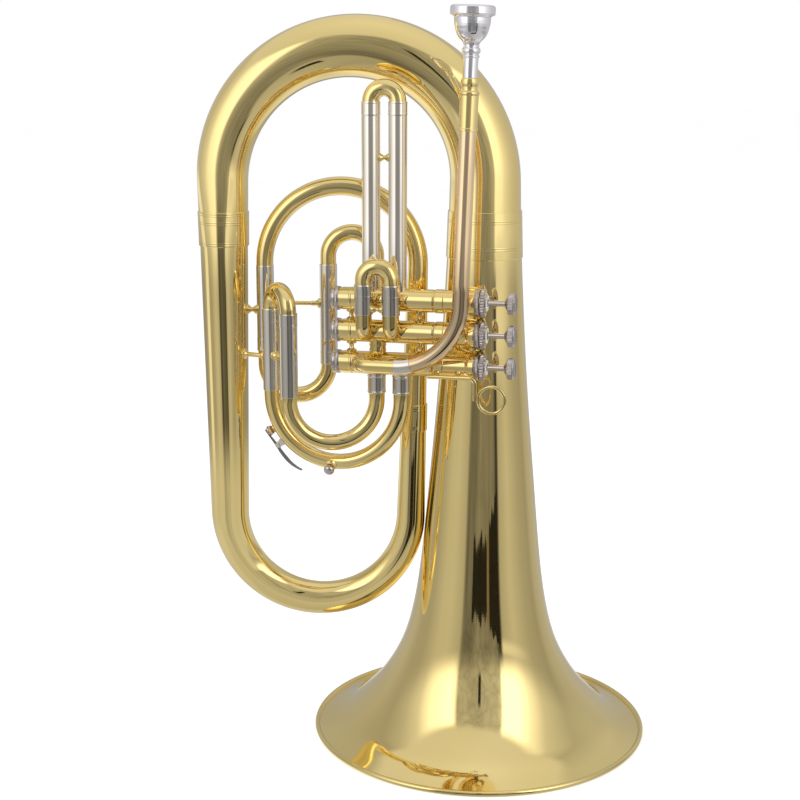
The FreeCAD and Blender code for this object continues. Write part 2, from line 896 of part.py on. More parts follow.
def inner_arch(plugs):
    """Tube from the back of valve 1, up and over to the tuning slide."""
    foot = Vec(size("inner_arch_x"), 0, 0)
    offset = foot - Vec(0, size("valve_front"), 0)
    u = offset.dot(U)
    v = offset.dot(V)
    bend = size("outlet_bend")
    start = at_valves(u, 9.0, "valve_one")
    elbow = tube("outlet_elbow", aim(start, BACK, UP),
                 [("run", v - 9.0 - bend), ("bend", "outlet_bend", 90)])
    fitted = cut("outlet_fitted", elbow, [plugs["1"]])
    top = Vec(foot.x, 0, size("valve_one") + bend)
    radius = (foot.x - size("tuning_right")) / 2
    arch = tube("arch_over", aim(top, UP, LEFT),
                [("run", size("inner_arch_spring") - top.z),
                 ("bend", radius, 180),
                 ("run", "inner_arch_spring - tuning_right_high")])
    keep("inner_arch", fused("inner_arch", [fitted, arch]))


def first_slide(plugs):
    spots = [at_valves(u, 0, 0) for u in ("first_left", "first_right")]
    sleeves = []
    for i, spot in enumerate(spots):
        blank = sleeve(f"first_sleeve_blank_{i}", spot, "valve_one + 6", "first_high")
        sleeves.append(cut(f"first_sleeve_{i}", blank, [plugs["1"]]))
    keep("first_slide_sleeves", *sleeves)
    legs = []
    for i, spot in enumerate(spots):
        legs.append(leg(f"first_leg_{i}", spot, "first_high - first_leg", "first_leg"))
    keep("first_slide_legs", *legs)
    start = Vec(spots[0].x, spots[0].y, size("first_high"))
    moves = [("bend", (spots[1] - spots[0]).Length / 2, 180)]
    keep("first_slide_bow",
         tube("first_slide_bow", aim(start, UP, U), moves, "bow_outer", "bow_wall"))


def second_slide(plugs):
    elbows = []
    sleeves = []
    legs = []
    spots = []
    bend = size("second_bend")
    for i, u in enumerate(("second_left", "second_right")):
        spots.append(at_valves(u, "second_front", 0))
        start = at_valves(u, -9.0, "valve_two")
        moves = [("run", -9.0 - size("second_front") - bend),
                 ("bend", "second_bend", 90),
                 ("run", size("second_low") - size("valve_two") - bend)]
        blank = tube(f"second_elbow_blank_{i}", aim(start, FRONT, UP), moves)
        elbows.append(cut(f"second_elbow_{i}", blank, [plugs["2"]]))
        sleeves.append(sleeve(f"second_sleeve_{i}", spots[i], "second_low", "second_high"))
        legs.append(leg(f"second_leg_{i}", spots[i], "second_high - second_leg",
                        "second_leg"))
    keep("second_slide_elbows", *elbows)
    keep("second_slide_sleeves", *sleeves)
    keep("second_slide_legs", *legs)
    start = Vec(spots[0].x, spots[0].y, size("second_high"))
    moves = [("run", 3.4), ("bend", (spots[1] - spots[0]).Length / 2, 180), ("run", 3.4)]
    keep("second_slide_bow",
         tube("second_slide_bow", aim(start, UP, U), moves, "bow_outer", "bow_wall"))


def third_spots():
    front = Vec(size("third_front_x"), size("third_front_y"), 0)
    rear = Vec(size("third_rear_x"), size("third_rear_y"), 0)
    return front, rear


def third_loop(name, u, foot, plugs):
    """Loop from a port under valve 3 round to the foot of its slide sleeve."""
    port = at_valves(u, 0, 0)
    across = foot - port
    start = at_valves(u, 0, "valve_three - 9")
    moves = [("run", "valve_three - 9 - third_spring"),
             ("bend", across.Length / 2, 180),
             ("run", "third_low - third_spring")]
    side = Vec(across).normalize()
    blank = tube(name + "_blank", aim(start, DOWN, side), moves)
    return cut(name, blank, [plugs["3"]])


def third_slide(plugs):
    front, rear = third_spots()
    keep("third_slide_loop_front",
         third_loop("front_loop", "third_front_u", front, plugs))
    loop = fused("rear_loop_fitted", [third_loop("rear_loop", "third_rear_u", rear, plugs),
                                      drain_nipple(), drain_collar()])
    spout = rod("spout_hole", loop_frame(29.0, -4.0), 1.6, 8.0)
    drain = rod("drain_hole", drain_frame(), 2.45, 12.0)
    keep("third_slide_loop_rear", cut("third_slide_loop_rear", loop, [spout, drain]))
    ferrules = []
    for i, u in enumerate(("third_front_u", "third_rear_u")):
        spot = at_valves(u, 0, 0)
        points = [
            ("tube_outer + 0.03", 0),
            ("sleeve_outer", 0),
            ("sleeve_band", 0.4),
            ("sleeve_band", 1.6),
            ("sleeve_outer", 2.0),
            ("sleeve_outer", 18),
            ("tube_outer + 0.03", 18),
        ]
        base = Vec(spot.x, spot.y, 317.0)
        blank = turned(f"port_ferrule_blank_{i}", aim(base, UP, U), points)
        ferrules.append(cut(f"port_ferrule_{i}", blank, [plugs["3"]]))
    keep("third_slide_port_ferrules", *ferrules)
    keep("third_slide_sleeves",
         sleeve("third_sleeve_front", front, "third_low", "third_high"),
         sleeve("third_sleeve_rear", rear, "third_low", "third_high"))
    keep("third_slide_legs",
         leg("third_leg_front", front, "third_high - third_leg", "third_leg"),
         leg("third_leg_rear", rear, "third_high - third_leg", "third_leg"))
    start = Vec(front.x, front.y, size("third_high"))
    across = rear - front
    moves = [("bend", across.Length / 2, 180)]
    side = Vec(across).normalize()
    keep("third_slide_bow",
         tube("third_slide_bow", aim(start, UP, side), moves, "bow_outer", "bow_wall"))


# ---------------------------------------------------------------- leadpipe, mouthpiece

def lead_heading():
    lean = math.radians(size("lead_lean"))
    return U * math.sin(lean) + UP * math.cos(lean)


def lead_start():
    """Point where the straight part of the leadpipe meets its bend."""
    lean = math.radians(size("lead_lean"))
    bend = size("lead_bend")
    level = size("lead_level") + bend - bend * math.sin(lean)
    return at_valves("lead_u", "lead_v", level)


def bend_point(degrees):
    """Point and heading on the leadpipe bend, degrees after the straight part ends."""
    lean = math.radians(size("lead_lean"))
    bend = size("lead_bend")
    down = lead_heading() * -1
    inward = MINUS_U * math.cos(lean) + UP * math.sin(lean)
    angle = math.radians(degrees)
    centre = along(lead_start(), inward, bend)
    point = centre - inward * (bend * math.cos(angle)) + down * (bend * math.sin(angle))
    heading = down * math.cos(angle) + inward * math.sin(angle)
    side = inward * math.cos(angle) - down * math.sin(angle)
    return point, heading, side


def leadpipe(plugs):
    full = 90 - size("lead_lean")
    half = size("ferrule_turn") / 2
    top = along(lead_start(), lead_heading(), size("lead_length"))
    keep("leadpipe",
         tube("leadpipe", aim(top, lead_heading() * -1, MINUS_U),
              [("run", "lead_length"), ("bend", "lead_bend", full - half)]))
    point, heading, side = bend_point(full - 2 * half)
    keep("leadpipe_ferrule",
         tube("leadpipe_ferrule", aim(point, heading, side),
              [("bend", "lead_bend", "ferrule_turn")], "sleeve_band", 1.02))
    point, heading, side = bend_point(full - half)
    end = bend_point(full)[0]
    run = (end - at_valves("inlet_u", "lead_v", "lead_level")).dot(U) - size("inlet_bend")
    tail = tube("inlet_tail", aim(point, heading, side),
                [("bend", "lead_bend", half), ("run", run)])
    corner = along(end, MINUS_U, run)
    reach = -size("lead_v") - size("inlet_bend") - 9.0
    elbow = tube("inlet_elbow", aim(corner, MINUS_U, BACK),
                 [("bend", "inlet_bend", 90), ("run", reach)])
    fitted = cut("inlet_fitted", elbow, [plugs["3"]])
    keep("leadpipe_elbow", fused("leadpipe_elbow", [tail, fitted]))


def receiver_placement():
    point = along(lead_start(), lead_heading(), size("receiver_low"))
    return aim(point, lead_heading(), Vec(0, -1, 0).cross(lead_heading()))


def leadpipe_receiver():
    """Socket over the leadpipe's end; its upper bore tapers for the mouthpiece shank."""
    length = size("receiver_length")
    seat = size("lead_length") - size("receiver_low")
    points = [
        ("tube_outer + 0.02", 0),
        (7.6, 0),
        (7.9, 0.5),
        (7.9, 2.0),
        (7.5, 2.6),
        (7.8, length - 12.5),
        (8.3, length - 12.0),
        (8.3, length - 10.6),
        (7.6, length - 10.1),
        (7.6, length - 8.6),
        (8.2, length - 7.8),
        (8.2, length - 1.0),
        (7.5, length),
        (6.0, length),
        (5.12, length - 30),
        (5.12, seat),
        ("tube_outer + 0.02", seat),
    ]
    keep("leadpipe_receiver", turned("leadpipe_receiver", receiver_placement(), points))


def mouthpiece():
    """Turned cup mouthpiece; heights count up from the small end of the shank."""
    top = size("mouthpiece_length")
    rim = size("mouthpiece_rim")
    position = along(receiver_placement().Base, lead_heading(),
                     size("receiver_length") - size("shank_depth"))
    placement = aim(position, lead_heading(), Vec(0, -1, 0).cross(lead_heading()))
    points = [
        (4.2, 0),
        (5.12, 0),
        (5.94, 28),
        (6.2, 43.6),
        (7.4, 44.2),
        (7.4, 45.2),
        (6.4, 45.8),
        (6.4, 46.6),
        (8.1, 49.2),
        (6.4, 51.8),
        (6.4, 53.2),
        (8.7, 57.4),
        (13.3, 65.6),
        (14.6, 74.6),
        (rim - 1.6, 76.2),
        (rim, 77.8),
        (rim, 81.4),
        (15.4, top),
        (12.7, 82.4),
        (10.4, 66.0),
        (3.4, 55.5),
        (3.4, 50),
    ]
    arcs = {
        7: (7.7, 47.6),
        8: (7.7, 50.8),
        10: (7.1, 55.6),
        11: (11.4, 60.6),
        13: (15.2, 75.8),
        16: (17.4, 83.3),
        17: (13.6, 83.8),
        18: (12.2, 73.0),
        19: (7.0, 59.6),
    }
    keep("mouthpiece", turned("mouthpiece", placement, points, arcs))


# ---------------------------------------------------------------- braces and small parts

def brace(name, start, stop, flange, thin, plugs):
    """Stay between two tubes: a turned rod with a flange at each end, fitted to both."""
    span = stop - start
    length = span.Length
    points = [
        (0, 0),
        (flange, 0),
        (flange, 1.6),
        (thin + 0.9, 2.4),
        (thin, 3.6),
        (thin, length - 3.6),
        (thin + 0.9, length - 2.4),
        (flange, length - 1.6),
        (flange, length),
        (0, length),
    ]
    heading = Vec(span).normalize()
    blank = turned(name + "_blank", aim(start, heading, UP), points)
    return cut(name, blank, plugs)


def between(first, first_radius, second, second_radius, height, bite=0.9):
    """End points of a stay that bites into two upright tubes at a height."""
    heading = Vec(second - first).normalize()
    start = along(first, heading, first_radius - bite) + UP * height
    stop = along(second, heading, bite - second_radius) + UP * height
    return start, stop


def sleeve_plug(name, spot):
    return tube_plug(name, spot.x, spot.y, 300, 570, "sleeve_outer")


def slide_braces():
    """One stay across the two sleeves of every slide."""
    front, rear = third_spots()
    left = Vec(size("tuning_left"), 0, 0)
    right = Vec(size("tuning_right"), 0, 0)
    first = [at_valves(u, 0, 0) for u in ("first_left", "first_right")]
    second = [at_valves(u, "second_front", 0) for u in ("second_left", "second_right")]
    radius = size("sleeve_outer")
    stays = []
    for name, one, two, height, flange, thin in (
            ("tuning_stay", left, right, 388.0, 4.6, 2.2),
            ("first_stay", first[0], first[1], 516.0, 3.4, 1.6),
            ("second_stay", second[0], second[1], 392.0, 3.2, 1.6),
            ("third_stay", front, rear, 346.0, 4.2, 1.9)):
        plugs = [sleeve_plug(f"{name}_plug_{i}", spot) for i, spot in enumerate((one, two))]
        start, stop = between(one, radius, two, radius, height)
        stays.append(brace(name, start, stop, flange, thin, plugs))
    keep("slide_braces", *stays)


def branch_braces():
    """Stays from the big left branch to the tuning slide and to the third slide."""
    branch = Vec(size("left_x"), 0, 0)
    rear = third_spots()[1]
    left = Vec(size("tuning_left"), 0, 0)
    drop = size("left_joint") - size("bottom_bow_spring")
    slope = (size("bottom_bow_large") - size("bottom_bow_small")) / (
        drop + math.pi * size("bottom_bow_radius") + 90.7)
    stays = []
    for name, spot, height, flange, thin in (
            ("upper_stay", left, 382.0, 4.2, 2.0),
            ("lower_stay", rear, 344.0, 4.6, 2.0)):
        radius = size("bottom_bow_large") - slope * (size("left_joint") - height)
        big = doc.addObject("Part::Cone", name + "_branch_plug")
        big.Radius1 = radius - slope * 20
        big.Radius2 = radius + slope * 20
        big.Height = 40
        big.Placement = aim(Vec(branch.x, 0, height - 20), UP, RIGHT)
        small = sleeve_plug(name + "_sleeve_plug", spot)
        start, stop = between(branch, radius, spot, size("sleeve_outer"), height)
        stays.append(brace(name, start, stop, flange, thin, [big, small]))
    keep("branch_braces", *stays)


def finger_ring(plugs):
    """Little-finger ring on a wire arm held under the third casing by two feet."""
    v = -12.5
    level = size("valve_three") - 7.3
    start = at_valves(-45.0, v, level)
    arm = tube("ring_arm", aim(start, U, DOWN),
               [("run", 35.5), ("bend", 5.0, 90), ("run", 14.0)], 1.9, None)
    ring = doc.addObject("Part::Torus", "ring_wire")
    ring.Radius1 = 11.3
    ring.Radius2 = 1.5
    ring.Placement = aim(at_valves(9.6, v, 317.7), FRONT, MINUS_U)
    heading = Vec(at_valves(0, 0, "valve_three") - at_valves(0, v, level)).normalize()
    feet = []
    for i, u in enumerate((-38.0, -20.0)):
        feet.append(rod(f"ring_foot_{i}", aim(at_valves(u, v, level), heading, U), 2.4, 6.0))
    whole = fused("ring_whole", [arm, ring] + feet)
    keep("finger_ring", cut("finger_ring", whole, [plugs["3"]]))


# ---------------------------------------------------------------- water keys

def loop_circle():
    """Centre, radius and sideways direction of the rear loop's centreline."""
    rear = third_spots()[1]
    port = at_valves("third_rear_u", 0, 0)
    across = rear - port
    centre = (rear + port) * 0.5 + UP * size("third_spring")
    return centre, across.Length / 2, Vec(across).normalize()


def loop_frame(degrees, outward=0.0):
    """Frame on the outside of the rear loop, degrees below its sleeve side.

    Local X runs along the loop towards its bottom, local Z points away from it.
    """
    centre, radius, sideways = loop_circle()
    angle = math.radians(degrees)
    out = sideways * math.cos(angle) + DOWN * math.sin(angle)
    tangent = sideways * -math.sin(angle) + DOWN * math.cos(angle)
    reach = radius + size("tube_outer") + outward
    return aim(along(centre, out, reach), out, tangent)


def loop_plug(name):
    """Solid ring the size of the rear loop, for fitting small parts against it."""
    centre, radius, sideways = loop_circle()
    ring = doc.addObject("Part::Torus", name)
    ring.Radius1 = radius
    bind(ring, "Radius2", "tube_outer")
    ring.Placement = aim(centre, sideways.cross(UP), sideways)
    return ring


def drain_nipple():
    """Short spout soldered on the rear loop, closed by the water key's pad."""
    spout = turned("nipple_blank", loop_frame(29.0), [
        (1.6, -1.5), (3.4, -1.5), (3.4, 0.4), (2.6, 1.2), (2.6, 2.4), (1.6, 2.4)])
    return cut("drain_nipple", spout, [loop_plug("nipple_loop_plug")])


def water_key():
    plug = loop_plug("key_loop_plug")
    hinge = loop_frame(41.0)
    seat = loop_frame(29.0)
    pad = [(0, 2.4), (3.9, 2.4), (3.9, 4.6), (0, 4.6)]
    keep("water_key_pad", turned("water_key_pad", seat, pad))
    # saddle: two lugs on a foot that follows the tube
    lugs = []
    for i, y in enumerate((-4.6, 4.6)):
        shape = [(-3.2, -1.6), (3.2, -1.6), (2.2, 4.4), (-2.2, 4.4)]
        place = hinge.multiply(FreeCAD.Placement(Vec(0, y, 0), Rot()))
        lug = padded(f"saddle_lug_{i}", place, shape, 1.8, {2: (0, 6.4)})
        hole = rod(f"saddle_hole_{i}", place.multiply(
            FreeCAD.Placement(Vec(0, 2, 4.2), Rot(RIGHT, 90))), 1.05, 4)
        lugs.append(cut(f"saddle_lug_bored_{i}", lug, [hole]))
    foot = padded("saddle_foot", hinge,
                  [(-3.2, -2.6), (3.2, -2.6), (3.2, 0.6), (-3.2, 0.6)], 11.0)
    saddle = fused("saddle_whole", lugs + [foot])
    keep("water_key_saddle", cut("water_key_saddle", saddle, [plug]))
    # pivot screw
    axle = hinge.multiply(FreeCAD.Placement(Vec(0, 6.6, 4.2), Rot(RIGHT, 90)))
    screw = [(0, 0), (1.9, 0), (1.9, 1.0), (1.0, 1.0), (1.0, 13.0), (0, 13.0)]
    keep("water_key_screw", turned("water_key_screw", axle, screw))
    # lever: barrel, arm to the pad cup, curved touch piece
    barrel_place = hinge.multiply(FreeCAD.Placement(Vec(0, 3.6, 4.2), Rot(RIGHT, 90)))
    barrel = turned("lever_barrel", barrel_place, [
        (1.05, 0), (1.9, 0), (1.9, 7.2), (1.05, 7.2)])
    arm = padded("lever_arm", hinge,
                 [(-17.6, 4.6), (-10.6, 5.7), (0, 5.7), (14, 6.4), (29.9, 3.0),
                  (30.5, 3.8), (14.6, 9.0), (0, 7.6), (-17.6, 6.2)], 3.2,
                 {2: (7.2, 6.4), 3: (22.2, 5.7), 5: (23.0, 7.4), 6: (7.2, 8.8)})
    cup = turned("lever_cup", seat, [
        (0, 4.6), (4.4, 4.6), (4.4, 5.6), (3.0, 6.6), (0, 6.9)])
    core = rod("lever_core", axle, 1.05, 14)
    lever = fused("lever_whole", [barrel, arm, cup])
    keep("water_key_lever", cut("water_key_lever", lever, [core]))
    # torsion spring beside the barrel
    line = doc.addObject("Part::Helix", "key_spring_line")
    line.Pitch = 0.9
    line.Radius = 2.5
    line.Height = 1.1
    wire = doc.addObject("Part::Circle", "key_spring_wire")
    wire.Radius = 0.35
    wire.Placement = FreeCAD.Placement(Vec(2.5, 0, 0), Rot(RIGHT, 90))
    doc.recompute()
    coil = doc.addObject("Part::Sweep", "water_key_spring")
    coil.Sections = [wire]
    coil.Spine = (line, ["Edge1"])
    coil.Solid = True
    coil.Frenet = True
    coil.Placement = hinge.multiply(FreeCAD.Placement(Vec(0, 3.25, 4.2), Rot(RIGHT, 90)))
    keep("water_key_spring", coil)


def drain_frame():
    """Frame at the centre of the rear loop's tube near its bottom, facing front-down."""
    centre, radius, sideways = loop_circle()
    angle = math.radians(86.0)
    heart = centre + (sideways * math.cos(angle) + DOWN * math.sin(angle)) * radius
    outward = (FRONT + DOWN * 0.5).normalize()
    return aim(heart, outward, U)


def drain_collar():
    collar = turned("drain_collar_blank", drain_frame(), [
        (2.45, 5.6), (5.0, 5.6), (5.0, 7.0), (4.3, 7.6), (4.3, 8.4), (2.45, 8.4)])
    return cut("drain_collar", collar, [loop_plug("drain_loop_plug")])


def drain_button():
    """Sprung push button in the drain collar."""
    frame = drain_frame()
    button = [(0, 7.2), (2.4, 7.2), (2.4, 10.0), (3.6, 10.2), (4.4, 10.9), (4.7, 12.0),
              (4.1, 13.9), (2.8, 15.0), (1.2, 15.5), (0, 15.5)]
    keep("drain_button", turned("drain_button", frame, button))


# ---------------------------------------------------------------- build and write

bell()
bell_rim_bead()
top_bow()
bell_ferrule()
left_ferrule()
bottom_bow()
outer_arch()
small_branch()
branch_ferrule()
casing_plugs = valve_block()
tuning_slide()
inner_arch(casing_plugs)
first_slide(casing_plugs)
second_slide(casing_plugs)
third_slide(casing_plugs)
leadpipe(casing_plugs)
leadpipe_receiver()
mouthpiece()
slide_braces()
branch_braces()
finger_ring(casing_plugs)
water_key()
drain_button()
doc.recompute()

faults = []
for item in doc.Objects:
    if "Invalid" in item.State or "Error" in item.State:
        faults.append(f"{item.Name}: {item.State}")
for node, thing in nodes.items():
    if thing.Shape.isNull() or not thing.Shape.isValid() or not thing.Shape.Solids:
        faults.append(f"{node}: no valid shape")
if faults:
    raise RuntimeError("; ".join(faults))

os.makedirs("parts", exist_ok=True)
for node, thing in nodes.items():
    thing.Shape.exportStep(f"parts/{node}.step")
print(len(nodes), "nodes written")
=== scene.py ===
"""Looks of a marching baritone horn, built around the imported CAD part.

Lengths in the shape code are millimetres; the mesh builders turn them into metres.
The valve block lies in a plane turned about Z: "u" counts along it towards the finger
buttons, "v" towards the back of the horn.
"""

import cmath
import math
import random
from types import SimpleNamespace

import bpy
from mathutils import Matrix, Vector


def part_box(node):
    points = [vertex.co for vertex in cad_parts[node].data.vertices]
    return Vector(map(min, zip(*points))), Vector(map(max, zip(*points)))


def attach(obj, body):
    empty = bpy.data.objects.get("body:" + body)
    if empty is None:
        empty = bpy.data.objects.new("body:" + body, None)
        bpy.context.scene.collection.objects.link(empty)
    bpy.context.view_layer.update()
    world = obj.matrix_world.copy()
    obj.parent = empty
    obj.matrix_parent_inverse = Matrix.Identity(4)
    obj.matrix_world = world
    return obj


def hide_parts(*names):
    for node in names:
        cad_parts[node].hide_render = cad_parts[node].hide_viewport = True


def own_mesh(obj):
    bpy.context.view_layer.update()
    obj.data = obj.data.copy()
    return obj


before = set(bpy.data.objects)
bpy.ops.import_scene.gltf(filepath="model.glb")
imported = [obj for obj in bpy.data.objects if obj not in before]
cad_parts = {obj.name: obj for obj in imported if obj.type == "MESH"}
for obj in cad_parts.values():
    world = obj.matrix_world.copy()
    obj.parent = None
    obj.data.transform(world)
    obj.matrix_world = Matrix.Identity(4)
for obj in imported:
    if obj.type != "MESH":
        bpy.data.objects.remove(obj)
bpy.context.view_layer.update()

MM = 0.001
UP = Vector((0, 0, 1))
DOWN = -UP
RIGHT = Vector((1, 0, 0))
LEFT = -RIGHT

S = SimpleNamespace(
    # bell and conical branches
    bell_top=450.0, bell_wall=0.7, bead=2.4, cone_wall=0.8,
    bow_spring=494.0, top_bow_radius=113.0, top_bow_large=31.3, top_bow_small=21.0,
    left_joint=453.0, left_x=-226.0,
    bottom_bow_radius=81.6, bottom_bow_spring=199.3,
    bottom_bow_large=20.9, bottom_bow_small=11.1,
    lean=1.4, branch_joint=288.0, branch_small=8.7,
    arch_start=7.3, arch_radius=66.7, arch_spring=423.2,
    bell_ferrule_low=430.0, bell_ferrule_length=40.0, left_ferrule_length=29.6,
    branch_ferrule_length=23.6,
    # cylindrical tubing
    tube=6.9, wall=0.6, bow=7.1, bow_wall=0.8,
    sleeve=7.7, sleeve_band=7.95, sleeve_bore=6.95, band=11.0,
    # valve block
    valve_front=-53.0, valve_turn=10.0, valve_base=-128.0,
    casing=9.7, casing_bore=8.95, chamber=9.15,
    casing_length=127.4, shoulder=87.0, flange_low=116.3, flange_high=121.4,
    flange=11.2, seam=86.6, piston=8.9, stem=2.4,
    collar=118.0, button_low=146.9, button=9.2, button_thick=8.2,
    top_cap=12.0, top_cap_skirt=11.5, top_cap_high=130.7, bottom_cap=10.3,
    spring_radius=6.0, spring_wire=0.45, spring_pitch=4.1, spring_length=27.8,
    post_rear=-114.0, post_front=-54.5, crossover_upper=-80.0, crossover_lower=-91.0,
    # slides
    tuning_left=-190.7, tuning_right=-135.3,
    tuning_left_low=346.0, tuning_left_high=421.0,
    tuning_right_low=335.0, tuning_right_high=422.5,
    tuning_bow_spring=333.9, tuning_leg=70.0,
    inner_arch_x=-93.4, inner_arch_spring=429.3, outlet_bend=13.0,
    first_left=-96.6, first_right=-73.7, first_high=561.5, first_leg=92.0,
    second_left=-98.0, second_right=-74.5, second_low=387.6, second_high=412.5,
    second_leg=22.0, second_front=-21.0, second_bend=9.3,
    third_front_u=-92.0, third_rear_u=-70.2, third_spring=311.5,
    third_low=315.0, third_high=386.5, third_leg=66.0,
    third_front_x=-164.5, third_front_y=-50.5, third_rear_x=-183.0, third_rear_y=-21.0,
    # leadpipe and mouthpiece
    lead_v=-21.0, lead_u=-15.9, lead_lean=1.9, lead_bend=55.0, lead_level=344.1,
    lead_length=148.0, ferrule_turn=14.6, inlet_u=-104.5, inlet_bend=10.0,
    receiver_low=141.8, receiver_length=41.6, shank_depth=28.0,
    mouthpiece=84.0, mouthpiece_rim=18.0,
    # finger ring and drain on the third slide
    ring_v=-12.5, ring_drop=7.3, ring_u=9.6, ring_level=317.7, ring_radius=11.3, ring_wire=1.5,
    hinge_angle=41.0, spout_angle=29.0, drain_angle=86.0, pivot_height=4.2,
)

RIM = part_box("bell_rim_bead")[1].x / MM
LEVELS = {n: (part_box(f"finger_button_{n}")[0].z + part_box(f"finger_button_{n}")[1].z) / 2 / MM
          for n in "123"}

# Outer surface of the bell: height above the rim plane, radius.
BELL_STATIONS = (
    (8.0, 131.5), (20.0, 113.3), (36.0, 97.3), (55.0, 83.2), (79.0, 70.6), (108.0, 61.6),
    (165.0, 52.6), (221.0, 47.3), (303.0, 40.1), (409.0, 33.3),
)

turn = math.radians(S.valve_turn)
U = Vector((math.cos(turn), -math.sin(turn), 0))
V = Vector((math.sin(turn), math.cos(turn), 0))


# ---------------------------------------------------------------- places

def place(position, heading, side):
    """Matrix that sends local +Z along heading and local +X near side; millimetres."""
    z = heading.normalized()
    x = (side - z * side.dot(z)).normalized()
    y = z.cross(x)
    return Matrix((
        (x.x, y.x, z.x, position.x),
        (x.y, y.y, z.y, position.y),
        (x.z, y.z, z.z, position.z),
        (0, 0, 0, 1)))


def at(x, z=0.0):
    """Place in the middle plane of the bell and the big branches."""
    return Vector((x, 0, z))


def at_valves(u, v, z):
    return Vector((0, S.valve_front, 0)) + U * u + V * v + UP * z


def valve_axis(number, distance=0.0):
    return place(at_valves(S.valve_base + distance, 0, LEVELS[number]), U, UP)


# ---------------------------------------------------------------- materials

def grey(level):
    return (level, level, level)


class Graph:
    """Small wrapper that keeps node graphs short to write."""

    def __init__(self, tree):
        self.tree = tree

    def add(self, kind, **settings):
        node = self.tree.nodes.new(kind)
        for key, value in settings.items():
            setattr(node, key, value)
        return node

    def feed(self, socket, value):
        """Link a socket to another node's output, or set it to a plain value."""
        if isinstance(value, bpy.types.NodeSocket):
            self.tree.links.new(value, socket)
        elif isinstance(value, tuple) and len(value) == 3 and socket.type == "RGBA":
            socket.default_value = (*value, 1.0)
        else:
            socket.default_value = value

    def fill(self, node, **values):
        """Feed named sockets; an underscore stands for the space in a socket's name."""
        for key, value in values.items():
            self.feed(node.inputs[key.replace("_", " ")], value)

    def math(self, operation, *values):
        node = self.add("ShaderNodeMath", operation=operation)
        for socket, value in zip(node.inputs, values):
            self.feed(socket, value)
        return node.outputs[0]

    def noise(self, place, scale, detail=3.0, roughness=0.5, output="Fac"):
        node = self.add("ShaderNodeTexNoise")
        self.fill(node, Scale=scale, Detail=detail, Roughness=roughness, Vector=place)
        return node.outputs[output]

    def stretch(self, place, scale):
        node = self.add("ShaderNodeMapping")
        self.fill(node, Scale=scale, Vector=place)
        return node.outputs["Vector"]

    def ramp(self, source, stops):
        """Colour ramp; a stop is (position, colour) or (position, grey level)."""
        node = self.add("ShaderNodeValToRGB")
        ramp = node.color_ramp
        for position, colour in stops[2:]:
            ramp.elements.new(position)
        for element, (position, colour) in zip(ramp.elements, stops):
            element.position = position
            element.color = (*(colour if isinstance(colour, tuple) else grey(colour)), 1.0)
        self.feed(node.inputs["Fac"], source)
        return node.outputs["Color"]

    def remap(self, source, low, high, start=0.0, stop=1.0, smooth=False):
        node = self.add("ShaderNodeMapRange")
        if smooth:
            node.interpolation_type = "SMOOTHSTEP"
        self.fill(node, Value=source, From_Min=start, From_Max=stop, To_Min=low, To_Max=high)
        return node.outputs["Result"]

    def times(self, one, two):
        return self.math("MULTIPLY", one, two)

    def rise(self, source, low, high):
        """Smooth step from 0 at low to 1 at high."""
        return self.remap(source, 0.0, 1.0, low, high, True)

    def fall(self, source, low, high):
        """Smooth step from 1 at low to 0 at high."""
        return self.remap(source, 1.0, 0.0, low, high, True)

    def span(self, source, low, high, soft):
        """1 between low and high, 0 outside, with soft edges."""
        return self.times(self.rise(source, low - soft, low + soft),
                          self.fall(source, high - soft, high + soft))

    def split(self, vector):
        node = self.add("ShaderNodeSeparateXYZ")
        self.feed(node.inputs[0], vector)
        return node.outputs

    def mix(self, factor, one, two, kind="MIX"):
        node = self.add("ShaderNodeMix", data_type="RGBA", blend_type=kind)
        self.feed(node.inputs["Factor"], factor)
        sides = [i for i in node.inputs if i.type == "RGBA"]
        self.feed(sides[0], one)
        self.feed(sides[1], two)
        return [o for o in node.outputs if o.type == "RGBA"][0]


def surface(name):
    """New material with its graph, Principled shader and object coordinates."""
    material = bpy.data.materials.new(name)
    material.use_nodes = True
    g = Graph(material.node_tree)
    shader = material.node_tree.nodes["Principled BSDF"]
    coords = g.add("ShaderNodeTexCoord").outputs["Object"]
    return material, g, shader, coords


def bump(g, shader, height, strength, distance):
    node = g.add("ShaderNodeBump")
    g.fill(node, Strength=strength, Distance=distance, Height=height)
    g.fill(shader, Normal=node.outputs["Normal"])


def polished_metal(name, light, deep, rough, lacquer=0.0):
    """Polished metal: faint colour drift, hairline polishing marks and a slow spun ripple."""
    material, g, shader, coords = surface(name)
    hairs = g.noise(g.stretch(coords, (1.0, 1.0, 0.06)), 900.0, 2.0, 0.7)
    smears = g.noise(coords, 55.0, 4.0, 0.6)
    g.fill(shader, Base_Color=g.ramp(g.noise(coords, 14.0, 2.0), ((0.3, deep), (0.7, light))),
           Metallic=1.0, Roughness=g.remap(smears, rough * 0.7, rough * 1.4),
           Coat_Weight=lacquer, Coat_Roughness=0.02)
    wave = g.math("MULTIPLY_ADD", hairs, 0.12, g.noise(coords, 38.0, 1.0))
    bump(g, shader, wave, 0.2, 0.0001)
    return material


def plated_silver(name, light, deep, rough):
    """Polished metal with painted shade: its grooves and hollows are darkened towards grey."""
    material = polished_metal(name, light, deep, rough)
    g = Graph(material.node_tree)
    base = material.node_tree.nodes["Principled BSDF"].inputs["Base Color"]
    clean = base.links[0].from_socket
    # Painted shade: an ambient-occlusion mask darkens the base colour in grooves and hollows.
    hollow = g.add("ShaderNodeAmbientOcclusion", samples=6)
    hollow.inputs["Distance"].default_value = 0.0016
    groove_shade = g.remap(hollow.outputs["AO"], 1.0, 0.0, 0.25, 0.8, True)
    g.feed(base, g.mix(groove_shade, clean, (0.20, 0.18, 0.19)))
    return material


